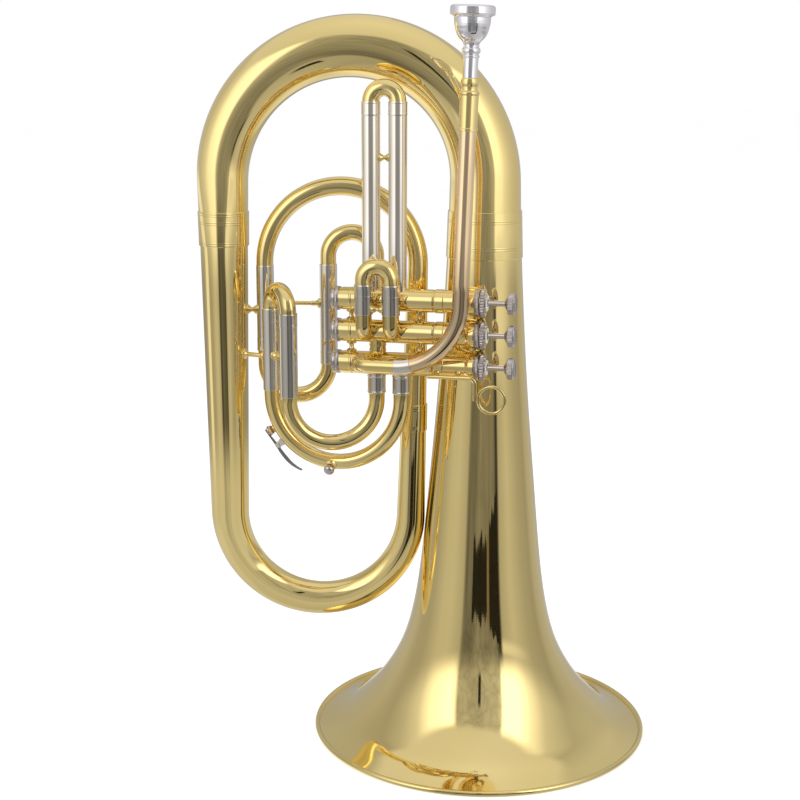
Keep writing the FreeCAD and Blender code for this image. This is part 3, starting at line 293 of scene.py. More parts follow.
def felt_cloth(name, light, deep):
    material, g, shader, coords = surface(name)
    fibres = g.noise(coords, 2600.0, 5.0, 0.8)
    g.fill(shader, Base_Color=g.ramp(fibres, ((0.35, deep), (0.65, light))), Roughness=0.95,
           Sheen_Weight=0.4)
    bump(g, shader, fibres, 0.8, 0.0004)
    return material


def cork_pad(name):
    material, g, shader, coords = surface(name)
    cells = g.add("ShaderNodeTexVoronoi")
    g.fill(cells, Scale=1400.0, Vector=coords)
    grain = cells.outputs["Distance"]
    g.fill(shader, Roughness=0.85,
           Base_Color=g.ramp(grain, ((0.1, (0.30, 0.17, 0.08)), (0.6, (0.62, 0.43, 0.25)))))
    bump(g, shader, grain, 0.5, 0.0003)
    return material


# Finish: recipe, clean colour, deeper colour, roughness and lacquer.
METALS = {
    "lacquered_brass": (polished_metal, (0.95, 0.76, 0.33), (0.92, 0.72, 0.295), 0.045, 0.35),
    # The next entry is a deeper, more saturated copy of the brass, for the smaller tubes and the
    # valve block: painted light bounced between the tubes.
    "deep_brass": (polished_metal, (0.95, 0.755, 0.33), (0.92, 0.71, 0.28), 0.05, 0.35),
    "rose_brass": (polished_metal, (0.96, 0.73, 0.46), (0.93, 0.68, 0.40), 0.07, 0.30),
    "nickel_silver": (polished_metal, (0.90, 0.84, 0.75), (0.82, 0.76, 0.66), 0.06),
    "silver_plate": (plated_silver, (0.93, 0.91, 0.93), (0.86, 0.84, 0.87), 0.06),
    "chrome_plate": (plated_silver, (0.66, 0.60, 0.575), (0.52, 0.465, 0.445), 0.07),
    "dark_chrome": (plated_silver, (0.50, 0.48, 0.47), (0.14, 0.13, 0.13), 0.10),
    "piston_nickel": (polished_metal, (0.74, 0.73, 0.70), (0.67, 0.66, 0.63), 0.14),
    "spring_steel": (polished_metal, (0.62, 0.62, 0.63), (0.52, 0.52, 0.54), 0.22),
}
MATERIALS = {slot: recipe(slot, *look) for slot, (recipe, *look) in METALS.items()}
MATERIALS["felt"] = felt_cloth("pressed_felt", (0.90, 0.88, 0.82), (0.72, 0.70, 0.63))
MATERIALS["cork"] = cork_pad("cork")


# ---------------------------------------------------------------- mesh builders

def arc_points(start, middle, stop, step=6.0):
    """Points after start, up to and with stop, on the circle through the three."""
    a, b, c = (complex(*point) for point in (start, middle, stop))
    skew = (c - a) / (b - a)
    centre = a + (b - a) * (skew - abs(skew) ** 2) / (2j * skew.imag)
    arm = a - centre
    via, last = (cmath.phase((point - centre) / arm) % math.tau for point in (b, c))
    sweep = last if via < last else last - math.tau
    count = max(3, math.ceil(abs(math.degrees(sweep)) / step))
    points = [centre + arm * cmath.exp(1j * sweep * i / count) for i in range(1, count + 1)]
    return [(point.real, point.imag) for point in points]


def rounded(points, arcs=None):
    """Closed outline with its arcs turned into short chords."""
    arcs = arcs or {}
    result = []
    for i, point in enumerate(points):
        after = points[(i + 1) % len(points)]
        result.append(point)
        if i in arcs:
            result += arc_points(point, arcs[i], after)[:-1]
    return result


def held(outline, gap=0.25):
    """Outline with extra points near the ends of long edges, so that shading stays true."""
    result = []
    for here, after in zip(outline, outline[1:] + outline[:1]):
        result.append(here)
        length = math.dist(here, after)
        if length > 5 * gap:
            for share in (gap / length, 1 - gap / length):
                result.append((here[0] + (after[0] - here[0]) * share,
                               here[1] + (after[1] - here[1]) * share))
    return result


def piece(name, vertices, faces, matrix, slot, body="horn", node=None, soften=0.0,
          sharp=38.0):
    """Smooth-shaded mesh object on a body; it stands for the CAD node of its own name
    unless another node is given."""
    mesh = bpy.data.meshes.new(name)
    mesh.from_pydata([tuple(matrix @ Vector(v) * MM) for v in vertices], [], faces)
    mesh.validate()
    mesh.shade_smooth()
    mesh.set_sharp_from_angle(angle=math.radians(sharp))
    thing = bpy.data.objects.new(name, mesh)
    bpy.context.collection.objects.link(thing)
    mesh.materials.append(MATERIALS[slot])
    if soften:
        bevel = thing.modifiers.new("soft_edges", "BEVEL")
        bevel.width = soften * MM
        bevel.segments = 2
        bevel.limit_method = "ANGLE"
        bevel.angle_limit = math.radians(35)
        bevel.harden_normals = True
    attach(thing, body)
    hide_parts(node or name)
    return thing


def lathe_faces(rows, columns):
    """Quads of a grid that closes on itself both ways."""
    faces = []
    for i in range(rows):
        for j in range(columns):
            a, b = i * columns + j, i * columns + (j + 1) % columns
            c, d = (i + 1) % rows * columns + (j + 1) % columns, (i + 1) % rows * columns + j
            faces.append((a, b, c, d))
    return faces


def end_caps(rows, columns):
    """Faces that shut the first and last ring of a tube."""
    last = (rows - 1) * columns
    return [tuple(reversed(range(columns))), tuple(range(last, last + columns))]


def turned_mesh(outline, columns, knurls=()):
    """Vertices and faces of a solid of revolution; points on the axis become one point.

    Each knurl is (low height, high height, teeth, depth) of a fluted outer edge.
    """
    outer = max(radius for radius, height in outline)
    rings = []
    vertices = []
    for radius, height in outline:
        if radius < 1e-6:
            rings.append([len(vertices)])
            vertices.append((0, 0, height))
            continue
        ring = []
        for j in range(columns):
            angle = math.tau * j / columns
            reach = radius
            for low, high, teeth, depth in knurls:
                if low <= height <= high and radius > 0.93 * outer:
                    reach -= depth * (0.5 - 0.5 * math.cos(teeth * angle))
            ring.append(len(vertices))
            vertices.append((reach * math.cos(angle), reach * math.sin(angle), height))
        rings.append(ring)
    faces = []
    for i, ring in enumerate(rings):
        after = rings[(i + 1) % len(rings)]
        if len(ring) == 1 and len(after) == 1:
            continue
        for j in range(columns):
            k = (j + 1) % columns
            if len(ring) == 1:
                faces.append((ring[0], after[k], after[j]))
            elif len(after) == 1:
                faces.append((ring[j], ring[k], after[0]))
            else:
                faces.append((ring[j], ring[k], after[k], after[j]))
    return vertices, faces


def turned(name, matrix, points, slot, arcs=None, columns=72, knurls=(), **more):
    outline = rounded(points, arcs)
    area = sum(a[0] * b[1] - b[0] * a[1] for a, b in zip(outline, outline[1:] + outline[:1]))
    if area < 0:
        outline = outline[::-1]
    vertices, faces = turned_mesh(held(outline), columns, knurls)
    return piece(name, vertices, faces, matrix, slot, **more)


def walk(moves, step=3.0):
    """Points and headings along tangent runs and bends from the origin along +Z.

    Each entry is (position, heading, distance) in the local XZ plane.
    """
    here, angle, distance = Vector((0, 0, 0)), math.pi / 2, 0.0
    stations = [(here.copy(), angle, distance)]
    for kind, size, *degrees in moves:
        if size <= 0:
            continue
        swing, length, parts = 0.0, size, max(1, round(size / 12.0))
        if kind == "bend":
            swing = math.radians(degrees[0])
            length = size * abs(swing)
            parts = max(2, math.ceil(abs(degrees[0]) / step))
        half = swing / parts / 2
        chord = 2 * size * math.sin(abs(half)) if half else length / parts
        for i in range(parts):
            along = angle - half
            here += Vector((math.cos(along), 0, math.sin(along))) * chord
            angle -= 2 * half
            distance += length / parts
            stations.append((here.copy(), angle, distance))
    return stations


def tube(name, matrix, moves, slot, start=S.tube, stop=None, wall=S.wall, columns=48,
         step=3.0, **more):
    """Bent tube whose radius runs evenly from start to stop; solid where wall is 0."""
    stop = start if stop is None else stop
    stations = walk(moves, step)
    length = stations[-1][2]
    rings = [(*station, 0.0) for station in stations]
    if wall:
        rings += [(*station, wall) for station in reversed(stations)]
    vertices = []
    for here, angle, distance, skin in rings:
        radius = start + (stop - start) * distance / length - skin
        across = Vector((math.sin(angle), 0, -math.cos(angle)))
        for j in range(columns):
            at = math.tau * j / columns
            vertices.append(here + across * radius * math.cos(at)
                            + Vector((0, 1, 0)) * radius * math.sin(at))
    faces = lathe_faces(len(rings), columns)
    if not wall:
        faces[-columns:] = end_caps(len(rings), columns)
    return piece(name, vertices, faces, matrix, slot, **more)


def coil(name, matrix, radius, wire, pitch, length, slot, **more):
    """Round-wire helix rising along local +Z, its wire shut at both ends."""
    columns, per_turn = 10, 28
    turns = length / pitch
    count = round(turns * per_turn)
    vertices = []
    for i in range(count + 1):
        at = math.tau * turns * i / count
        rise = length * i / count
        out = Vector((math.cos(at), math.sin(at), 0))
        for j in range(columns):
            around = math.tau * j / columns
            vertices.append(out * (radius + wire * math.cos(around))
                            + UP * (rise + wire * math.sin(around)))
    faces = lathe_faces(count + 1, columns)
    faces[-columns:] = end_caps(count + 1, columns)
    return piece(name, vertices, [face[::-1] for face in faces], matrix, slot, **more)


def slab(name, matrix, points, width, slot, arcs=None, **more):
    """Flat outline in local XZ, thickened evenly along local Y."""
    outline = rounded(points, arcs)
    count = len(outline)
    vertices = [(x, -width / 2, z) for x, z in outline]
    vertices += [(x, width / 2, z) for x, z in outline]
    faces = [tuple(range(count)), tuple(reversed(range(count, 2 * count)))]
    for i in range(count):
        k = (i + 1) % count
        faces.append((k, i, i + count, k + count))
    return piece(name, vertices, faces, matrix, slot, **more)


# ---------------------------------------------------------------- bell and big branches

def natural_spline(knots, per_span=26):
    """Smooth curve through (x, y) knots with x rising: natural cubic spline."""
    n = len(knots) - 1
    x = [k[0] for k in knots]
    y = [k[1] for k in knots]
    gap = [x[i + 1] - x[i] for i in range(n)]
    diagonal, right = [1.0] * (n + 1), [0.0] * (n + 1)
    carry = [0.0] * (n + 1)
    for i in range(1, n):
        pull = 3 * ((y[i + 1] - y[i]) / gap[i] - (y[i] - y[i - 1]) / gap[i - 1])
        diagonal[i] = 2 * (x[i + 1] - x[i - 1]) - gap[i - 1] * carry[i - 1]
        carry[i] = gap[i] / diagonal[i]
        right[i] = (pull - gap[i - 1] * right[i - 1]) / diagonal[i]
    bend = [0.0] * (n + 1)
    for i in range(n - 1, -1, -1):
        bend[i] = right[i] - carry[i] * bend[i + 1]
    curve = []
    for i in range(n):
        slope = (y[i + 1] - y[i]) / gap[i] - gap[i] * (bend[i + 1] + 2 * bend[i]) / 3
        cube = (bend[i + 1] - bend[i]) / (3 * gap[i])
        for step in range(per_span):
            t = gap[i] * step / per_span
            curve.append((x[i] + t, y[i] + slope * t + bend[i] * t * t + cube * t ** 3))
    curve.append((x[-1], y[-1]))
    return curve


def bell():
    edge = RIM - 2 * S.bead
    knots = [(S.bead + S.bell_wall / 2, edge)] + list(BELL_STATIONS)
    knots.append((S.bell_top, S.top_bow_large))
    outside = natural_spline(knots)
    inside = []
    for i, (height, radius) in enumerate(outside):
        before = outside[max(i - 1, 0)]
        after = outside[min(i + 1, len(outside) - 1)]
        run = Vector((after[1] - before[1], after[0] - before[0])).normalized()
        inside.append((radius - run.y * S.bell_wall, height + run.x * S.bell_wall))
    outline = [(r, h) for h, r in outside] + inside[::-1]
    turned("bell", Matrix.Identity(4), outline, "lacquered_brass", columns=224, sharp=60)


def rim_bead():
    middle = RIM - S.bead
    low = (middle - 0.8, 0.0)
    points = [low, (middle + 0.8, 0.0)]
    turned("bell_rim_bead", Matrix.Identity(4), points, "lacquered_brass",
           arcs={1: (middle, 2 * S.bead - 0.14)}, columns=192)


def band(name, matrix, radii, length, lines):
    """Thin ferrule; raised line pairs mark its ends."""
    low, high = radii
    wall = 0.8

    def outer(height):
        return low + (high - low) * height / length + wall

    points = [(low - 0.5, 0), (outer(0) - 0.25, 0), (outer(0), 0.25)]
    for line in lines:
        for offset, step in ((-1.3, 0.0), (-1.05, 0.07), (-0.75, 0.07), (-0.5, 0.0),
                             (0.5, 0.0), (0.75, 0.07), (1.05, 0.07), (1.3, 0.0)):
            points.append((outer(line + offset) + step, line + offset))
    points += [(outer(length), length - 0.25), (outer(length) - 0.25, length),
               (high - 0.5, length)]
    slot = "deep_brass" if name == "branch_ferrule" else "lacquered_brass"
    turned(name, matrix, points, slot, columns=120)


def branch_line():
    lean = math.radians(S.lean)
    start = at(S.tuning_left + S.arch_radius * (1 + math.cos(lean)),
               S.arch_spring - S.arch_radius * math.sin(lean))
    return start, Vector((-math.sin(lean), 0, -math.cos(lean)))


def big_branches():
    tube("top_bow", place(at(0, S.bell_top), UP, LEFT),
         [("run", S.bow_spring - S.bell_top), ("bend", S.top_bow_radius, 180),
          ("run", S.bow_spring - S.left_joint)],
         "lacquered_brass", S.top_bow_large, S.top_bow_small, S.cone_wall, 96, 2.0)
    lean = math.radians(S.lean)
    low = S.bottom_bow_spring - S.bottom_bow_radius * math.sin(lean)
    rise = (S.branch_joint - low) / math.cos(lean)
    tube("bottom_bow", place(at(S.left_x, S.left_joint), DOWN, RIGHT),
         [("run", S.left_joint - S.bottom_bow_spring),
          ("bend", S.bottom_bow_radius, 180 - S.lean), ("run", rise)],
         "lacquered_brass", S.bottom_bow_large, S.bottom_bow_small, S.cone_wall, 80, 2.0)
    tube("outer_arch", place(at(S.tuning_left, S.tuning_left_high), UP, RIGHT),
         [("run", S.arch_spring - S.tuning_left_high),
          ("bend", S.arch_radius, 180 + S.lean)],
         "deep_brass", S.arch_start, S.branch_small, S.wall, 56, 2.5)
    start, heading = branch_line()
    length = (start.z - S.branch_joint) / -heading.z
    tube("small_branch", place(start, heading, RIGHT), [("run", length)], "deep_brass",
         S.branch_small, S.bottom_bow_small, S.wall, 56)
    band("bell_ferrule", place(at(0, S.bell_ferrule_low), UP, RIGHT), (32.3, 31.0),
         S.bell_ferrule_length, (9.0, 31.5))
    wide, narrow = S.left_ferrule_length, S.branch_ferrule_length
    band("left_ferrule", place(at(S.left_x, S.left_joint - wide / 2), UP, RIGHT),
         (20.9, 21.4), wide, (2.2, 20.0, 27.4))
    band("branch_ferrule", place(start + heading * (length + narrow / 2), -heading, RIGHT),
         (11.35, 11.05), narrow, (3.5, 20.1))


# ---------------------------------------------------------------- valve block

def valve_casing(number):
    r, ring = S.casing, S.seam
    points = [
        (S.casing_bore, 0), (9.3, 0), (9.3, 7), (r, 7),
        (r, 13.5), (r + 0.25, 14.0), (r + 0.25, 15.2), (r, 15.7),
        (r, ring - 0.9), (r - 0.3, ring - 0.5), (r - 0.3, ring + 0.3), (r + 0.3, ring + 0.9),
        (r + 0.4, ring + 1.4), (r + 0.4, ring + 8.0), (r + 0.2, ring + 8.6), (r, ring + 8.8),
        (r, S.flange_low - 2.4), (r + 0.5, S.flange_low - 1.0), (S.flange - 0.3, S.flange_low),
        (S.flange, S.flange_low + 0.4), (S.flange, S.flange_high - 0.4),
        (S.flange - 0.3, S.flange_high), (9.6, S.flange_high), (9.6, S.casing_length),
        (S.chamber, S.casing_length), (S.chamber, S.shoulder), (S.casing_bore, S.shoulder),
    ]
    turned(f"valve_casing_{number}", valve_axis(number), points, "deep_brass",
           columns=80)


def top_cap(number):
    """Screw cap: fluted skirt, groove, wider scalloped grip rim and a flat end."""
    base, r, skirt = S.flange_high + 0.05, S.top_cap, S.top_cap_skirt
    points = [
        (9.65, base), (skirt - 0.3, base), (skirt, base + 0.3), (skirt, base + 3.9),
        (10.7, base + 4.4), (10.7, base + 4.8), (r - 0.5, base + 5.0), (r, base + 5.5),
        (r, base + 7.7), (r - 0.7, base + 8.4), (10.2, base + 8.5), (9.9, base + 8.2),
        (8.4, base + 8.2), (8.0, S.top_cap_high), (S.stem + 0.05, S.top_cap_high),
        (S.stem + 0.05, 127.6), (9.65, 127.6),
    ]
    turned(f"top_cap_{number}", valve_axis(number), points, "chrome_plate",
           knurls=((base + 0.5, base + 3.7, 60, 0.3), (base + 5.2, base + 8.3, 30, 0.9)),
           columns=360, sharp=50)


def finger_button(number):
    """Stem and fluted finger button with a dished face."""
    low, r = S.button_low, S.button
    top = low + S.button_thick
    points = [
        (0, 86), (S.stem, 86), (S.stem, S.collar), (7.4, S.collar), (7.4, S.collar + 1.6),
        (S.stem, S.collar + 1.6), (S.stem, low - 1.0), (4.2, low), (6.2, low + 1.3),
        (r - 0.6, low + 2.0), (r, low + 2.7), (r, top - 1.5),
        (r - 0.5, top - 0.5), (r - 1.3, top), (7.0, top - 0.1), (5.6, top - 0.55),
        (0, top - 0.8),
    ]
    turned(f"finger_button_{number}", valve_axis(number), points, "chrome_plate",
           knurls=((low + 2.5, top - 1.3, 48, 0.35),), columns=288,
           body=f"piston_unit_{number}", sharp=50)


def bottom_cap(number):
    """Short screw cap with a rounded, dished end and two rims, one of them milled."""
    r = S.bottom_cap
    points = [
        (0, 0.7), (4.0, 0.4), (6.6, 0), (8.9, 0), (r, 1.8), (r, 2.8), (9.8, 3.2),
        (9.8, 3.8), (r, 4.2), (r, 5.6), (9.8, 6.0), (9.8, 6.8), (9.35, 6.8), (9.35, 2.2),
        (9.1, 2.0), (9.1, 1.1), (0, 1.5),
    ]
    turned(f"bottom_cap_{number}", valve_axis(number, -2.2), points, "chrome_plate",
           {3: (10.0, 0.7)}, knurls=((4.1, 5.7, 56, 0.22),), columns=280,
           node="bottom_caps", sharp=50)


def piston(number):
    """Piston barrel with a shallow hollow in one end."""
    r = S.piston
    points = [
        (0, 20.5), (6.6, 20.5), (6.6, 14.5), (r - 0.4, 14.5), (r, 14.9),
        (r, 85.6), (r - 0.4, 86), (0, 86),
    ]
    turned(f"piston_{number}", valve_axis(number), points, "piston_nickel",
           body=f"piston_unit_{number}")


def piston_spring(number):
    spring = coil(f"piston_spring_{number}", valve_axis(number, S.shoulder + 2.6),
                  S.spring_radius, S.spring_wire, S.spring_pitch, S.spring_length,
                  "spring_steel")
    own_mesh(spring)


def casing_post(name, u, upper, lower):
    """Turned post with a narrow waist, its ends sunk into both casings."""
    low = LEVELS[lower] + S.casing - 1.0
    height = LEVELS[upper] - S.casing + 1.0 - low
    points = [
        (0, 0), (4.3, 0), (4.3, 2.0), (3.5, 2.5), (2.2, 3.4), (1.8, height / 2),
        (2.2, height - 3.4), (3.5, height - 2.5), (4.3, height - 2.0), (4.3, height),
        (0, height),
    ]
    turned(name, place(at_valves(u, 0, low), UP, U), points, "deep_brass",
           node="casing_posts", columns=40)


def crossover(name, u, upper, lower):
    """Short tube between casings with a solder ring where it meets each."""
    low = LEVELS[lower] + 5.0
    height = LEVELS[upper] - 5.0 - low
    near = S.casing - 5.0 + 0.2
    r = S.tube
    points = [
        (r - S.wall, 0), (r, 0), (r, near + 0.9), (r + 0.5, near + 1.1), (r + 0.5, near + 1.9),
        (r, near + 2.3), (r, height - near - 2.3), (r + 0.5, height - near - 1.9),
        (r + 0.5, height - near - 1.1), (r, height - near - 0.9), (r, height),
        (r - S.wall, height),
    ]
    turned(name, place(at_valves(u, 0, low), UP, U), points, "deep_brass",
           node="valve_crossovers", columns=56)


def valve_block():
    for number in "123":
        valve_casing(number)
        top_cap(number)
        finger_button(number)
        bottom_cap(number)
        piston(number)
        piston_spring(number)
    for i, u in enumerate((S.post_rear, S.post_front)):
        casing_post(f"post_upper_{i}", u, "1", "2")
        casing_post(f"post_lower_{i}", u, "2", "3")
    crossover("crossover_upper", S.crossover_upper, "1", "2")
    crossover("crossover_lower", S.crossover_lower, "2", "3")
    for node, slot in (("cap_felts", "felt"), ("valve_guides", "deep_brass")):
        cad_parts[node].data.materials.clear()
        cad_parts[node].data.materials.append(MATERIALS[slot])


# ---------------------------------------------------------------- slides

def sleeve(name, spot, low, high, node, band_at_top=True):
    """Outer slide tube with a thicker band and a fine ring at its open end."""
    length, wide, r, b = high - low, S.band, S.sleeve, S.sleeve_band
    lip = [(r, length - wide - 0.5), (b, length - wide + 0.4), (b, length - wide + 1.6),
           (b - 0.1, length - wide + 2.2), (b - 0.1, length - 1.6),
           (b + 0.05, length - 1.1), (b + 0.05, length - 0.3), (b - 0.1, length)]
    points = [(S.sleeve_bore, 0), (r - 0.1, 0), (r, 0.2)]
    points += lip + [(S.sleeve_bore, length)]
    if not band_at_top:
        points = [(radius, length - height) for radius, height in points]
    turned(name, place(Vector((spot.x, spot.y, low)), UP, U), points, "nickel_silver",
           node=node, columns=64)


def leg(name, spot, low, length, body, node):
    tube(name, place(Vector((spot.x, spot.y, low)), UP, U), [("run", length)],
         "nickel_silver", body=body, node=node)


def slide_bow(name, start, heading, side, moves, body):
    """Crook that joins the two legs of a slide."""
    tube(name, place(start, heading, side), moves, "deep_brass", S.bow, None, S.bow_wall,
         body=body)


def tuning_slide():
    left, right = at(S.tuning_left), at(S.tuning_right)
    lows = (S.tuning_left_low, S.tuning_right_low)
    highs = (S.tuning_left_high, S.tuning_right_high)
    for side, spot, low, high in zip(("left", "right"), (left, right), lows, highs):
        sleeve(f"tuning_sleeve_{side}", spot, low, high, "tuning_slide_sleeves", False)
        leg(f"tuning_leg_{side}", spot, low, S.tuning_leg, "tuning_slide",
            "tuning_slide_legs")
    slide_bow("tuning_slide_bow", left + UP * lows[0], DOWN, RIGHT,
              [("run", lows[0] - S.tuning_bow_spring), ("bend", (right.x - left.x) / 2, 180),
               ("run", lows[1] - S.tuning_bow_spring)], "tuning_slide")


def inner_arch():
    foot = at(S.inner_arch_x)
    offset = foot - Vector((0, S.valve_front, 0))
    u, v = offset.dot(U), offset.dot(V)
    level = LEVELS["1"]
    tube("outlet_elbow", place(at_valves(u, 6.0, level), V, UP),
         [("run", v - 6.0 - S.outlet_bend), ("bend", S.outlet_bend, 90)], "deep_brass",
         step=5, node="inner_arch")
    top = foot + UP * (level + S.outlet_bend)
    tube("inner_arch", place(top, UP, LEFT),
         [("run", S.inner_arch_spring - top.z), ("bend", (foot.x - S.tuning_right) / 2, 180),
          ("run", S.inner_arch_spring - S.tuning_right_high)], "deep_brass",
         node="inner_arch")


def first_slide():
    spots = [at_valves(u, 0, 0) for u in (S.first_left, S.first_right)]
    for i, spot in enumerate(spots):
        sleeve(f"first_sleeve_{i}", spot, LEVELS["1"] + 6, S.first_high,
               "first_slide_sleeves")
        leg(f"first_leg_{i}", spot, S.first_high - S.first_leg, S.first_leg, "first_slide",
            "first_slide_legs")
    slide_bow("first_slide_bow", spots[0] + UP * S.first_high, UP, U,
              [("bend", (spots[1] - spots[0]).length / 2, 180)],
              "first_slide")


def second_slide():
    spots = []
    for i, u in enumerate((S.second_left, S.second_right)):
        spot = at_valves(u, S.second_front, 0)
        spots.append(spot)
        tube(f"second_elbow_{i}", place(at_valves(u, -6.0, LEVELS["2"]), -V, UP),
             [("run", -6.0 - S.second_front - S.second_bend), ("bend", S.second_bend, 90),
              ("run", S.second_low - LEVELS["2"] - S.second_bend)],
             "deep_brass", step=5, node="second_slide_elbows")
        sleeve(f"second_sleeve_{i}", spot, S.second_low, S.second_high,
               "second_slide_sleeves")
        leg(f"second_leg_{i}", spot, S.second_high - S.second_leg, S.second_leg,
            "second_slide", "second_slide_legs")
    slide_bow("second_slide_bow", spots[0] + UP * S.second_high, UP, U,
              [("run", 3.4), ("bend", (spots[1] - spots[0]).length / 2, 180), ("run", 3.4)],
              "second_slide")


def third_spots():
    return (Vector((S.third_front_x, S.third_front_y, 0)),
            Vector((S.third_rear_x, S.third_rear_y, 0)))


def third_slide():
    front, rear = third_spots()
    for label, u, foot in (("front", S.third_front_u, front), ("rear", S.third_rear_u, rear)):
        port = at_valves(u, 0, 0)
        across = foot - port
        start = at_valves(u, 0, LEVELS["3"] - 6)
        tube(f"third_slide_loop_{label}", place(start, DOWN, across),
             [("run", start.z - S.third_spring), ("bend", across.length / 2, 180),
              ("run", S.third_low - S.third_spring)],
             "deep_brass")
        r, b = S.sleeve, S.sleeve_band
        turned(f"port_ferrule_{label}", place(port + UP * 317, UP, U),
               [(S.tube, 0), (r - 0.2, 0), (b, 0.5), (b, 1.5), (r, 2.0), (r, 14.0),
                (b, 14.4), (b, 15.4), (r, 15.8), (r, 20), (S.tube, 20)],
               "nickel_silver", node="third_slide_port_ferrules", columns=64)
        sleeve(f"third_sleeve_{label}", foot, S.third_low, S.third_high,
               "third_slide_sleeves")
        leg(f"third_leg_{label}", foot, S.third_high - S.third_leg, S.third_leg,
            "third_slide", "third_slide_legs")
    slide_bow("third_slide_bow", front + UP * S.third_high, UP, rear - front,
              [("bend", (rear - front).length / 2, 180)], "third_slide")


# ---------------------------------------------------------------- leadpipe, mouthpiece

def lead_heading():
    lean = math.radians(S.lead_lean)
    return U * math.sin(lean) + UP * math.cos(lean)


def lead_start():
    level = S.lead_level + S.lead_bend * (1 - math.sin(math.radians(S.lead_lean)))
    return at_valves(S.lead_u, S.lead_v, level)


def bend_frame(degrees):
    """Matrix on the leadpipe bend: local +Z ahead, local +X towards the bend's centre."""
    lean, angle = math.radians(S.lead_lean), math.radians(degrees)
    down = -lead_heading()
    inward = -U * math.cos(lean) + UP * math.sin(lean)
    point = (lead_start() + inward * S.lead_bend * (1 - math.cos(angle))
             + down * S.lead_bend * math.sin(angle))
    heading = down * math.cos(angle) + inward * math.sin(angle)
    return place(point, heading, inward * math.cos(angle) - down * math.sin(angle))


def leadpipe():
    full = 90 - S.lead_lean
    half = S.ferrule_turn / 2
    top = lead_start() + lead_heading() * S.lead_length
    tube("leadpipe", place(top, -lead_heading(), -U),
         [("run", S.lead_length), ("bend", S.lead_bend, full - half)], "rose_brass",
         step=2.5)
    tube("leadpipe_ferrule", bend_frame(full - 2 * half),
         [("bend", S.lead_bend, S.ferrule_turn)], "nickel_silver", S.sleeve_band, None, 1.0,
         soften=0.2)
    end = bend_frame(full).translation
    run = (end - at_valves(S.inlet_u, S.lead_v, S.lead_level)).dot(U) - S.inlet_bend
    tube("leadpipe_tail", bend_frame(full - half),
         [("bend", S.lead_bend, half), ("run", run)], "deep_brass",
         node="leadpipe_elbow")
    tube("leadpipe_elbow", place(end - U * run, -U, V),
         [("bend", S.inlet_bend, 90), ("run", -S.lead_v - S.inlet_bend - 6.0)],
         "deep_brass", step=5)


def lead_side():
    return Vector((0, -1, 0)).cross(lead_heading())


def receiver():
    length = S.receiver_length
    position = lead_start() + lead_heading() * S.receiver_low
    points = [
        (S.tube + 0.02, 0), (7.6, 0), (8.0, 0.5), (8.0, 1.9), (7.6, 2.4), (7.5, 3.0),
        (7.7, length - 13.6), (8.2, length - 12.8), (8.3, length - 11.8),
        (8.0, length - 10.8), (6.9, length - 9.8), (6.5, length - 8.4),
        (6.6, length - 6.6), (7.2, length - 5.0), (7.4, length - 3.4),
        (7.3, length - 1.6), (6.9, length - 0.4), (6.4, length), (6.0, length),
        (5.12, length - 30), (5.12, 6.2),
        (S.tube + 0.02, 6.2),
    ]
    turned("leadpipe_receiver", place(position, lead_heading(), lead_side()), points,
           "deep_brass", columns=72)


def mouthpiece():
    """Turned cup mouthpiece; heights count up from the small end of the shank."""
    position = lead_start() + lead_heading() * (
        S.receiver_low + S.receiver_length - S.shank_depth)
    rim, top = S.mouthpiece_rim, S.mouthpiece
    points = [
        (4.2, 0), (5.12, 0), (5.94, 28), (6.1, 43.6), (6.7, 44.0), (6.9, 44.4),
        (6.9, 45.0), (6.6, 45.6), (6.1, 45.9), (6.1, 46.6), (7.4, 49.2), (6.1, 51.8),
        (6.2, 53.2), (8.7, 57.4), (13.3, 65.6), (14.6, 74.6), (rim - 1.6, 76.2),
        (rim, 77.8), (rim, 81.4), (15.4, top), (12.7, 82.4), (10.4, 66.0), (3.4, 55.5),
        (3.4, 50),
    ]
    arcs = {
        9: (7.1, 47.6), 10: (7.1, 50.8), 12: (7.0, 55.6), 13: (11.4, 60.6),
        14: (14.3, 69.6), 15: (15.4, 75.7), 16: (17.6, 76.7), 18: (17.4, 83.3),
        19: (13.6, 83.8), 20: (12.2, 73.0), 21: (7.0, 59.6),
    }
    turned("mouthpiece", place(position, lead_heading(), lead_side()), points,
           "silver_plate", arcs, columns=120, body="mouthpiece_unit",
           sharp=45)


# ---------------------------------------------------------------- braces and small parts

def stay(name, one, one_radius, two, two_radius, height, flange, thin, node):
    """Turned stay between two upright tubes: flanges, collars and a stepped rod."""
    heading = (two - one).normalized()
    start = one + heading * (one_radius - 1.2) + UP * height
    length = (two - one).length - one_radius - two_radius + 2.4
    reach = min(6.0, length / 3)
    points = [
        (0, 0), (flange, 0), (flange, 2.0), (flange - 0.5, 2.5), (thin + 1.1, 2.9),
        (thin + 0.5, 3.9), (thin, 4.5), (thin, length - 4.5), (thin + 0.5, length - 3.9),
        (thin + 1.1, length - 2.9), (flange - 0.5, length - 2.5), (flange, length - 2.0),
        (flange, length), (0, length),
    ]
    if length > 30:
        points[7:7] = [(thin, reach), (thin + 0.5, reach + 0.4), (thin + 0.5, reach * 2.6),
                       (thin - 0.3, reach * 2.6 + 0.5), (thin - 0.3, length - reach - 3),
                       (thin, length - reach - 2.6)]
    turned(name, place(start, heading, UP), points, "deep_brass", node=node, columns=40)


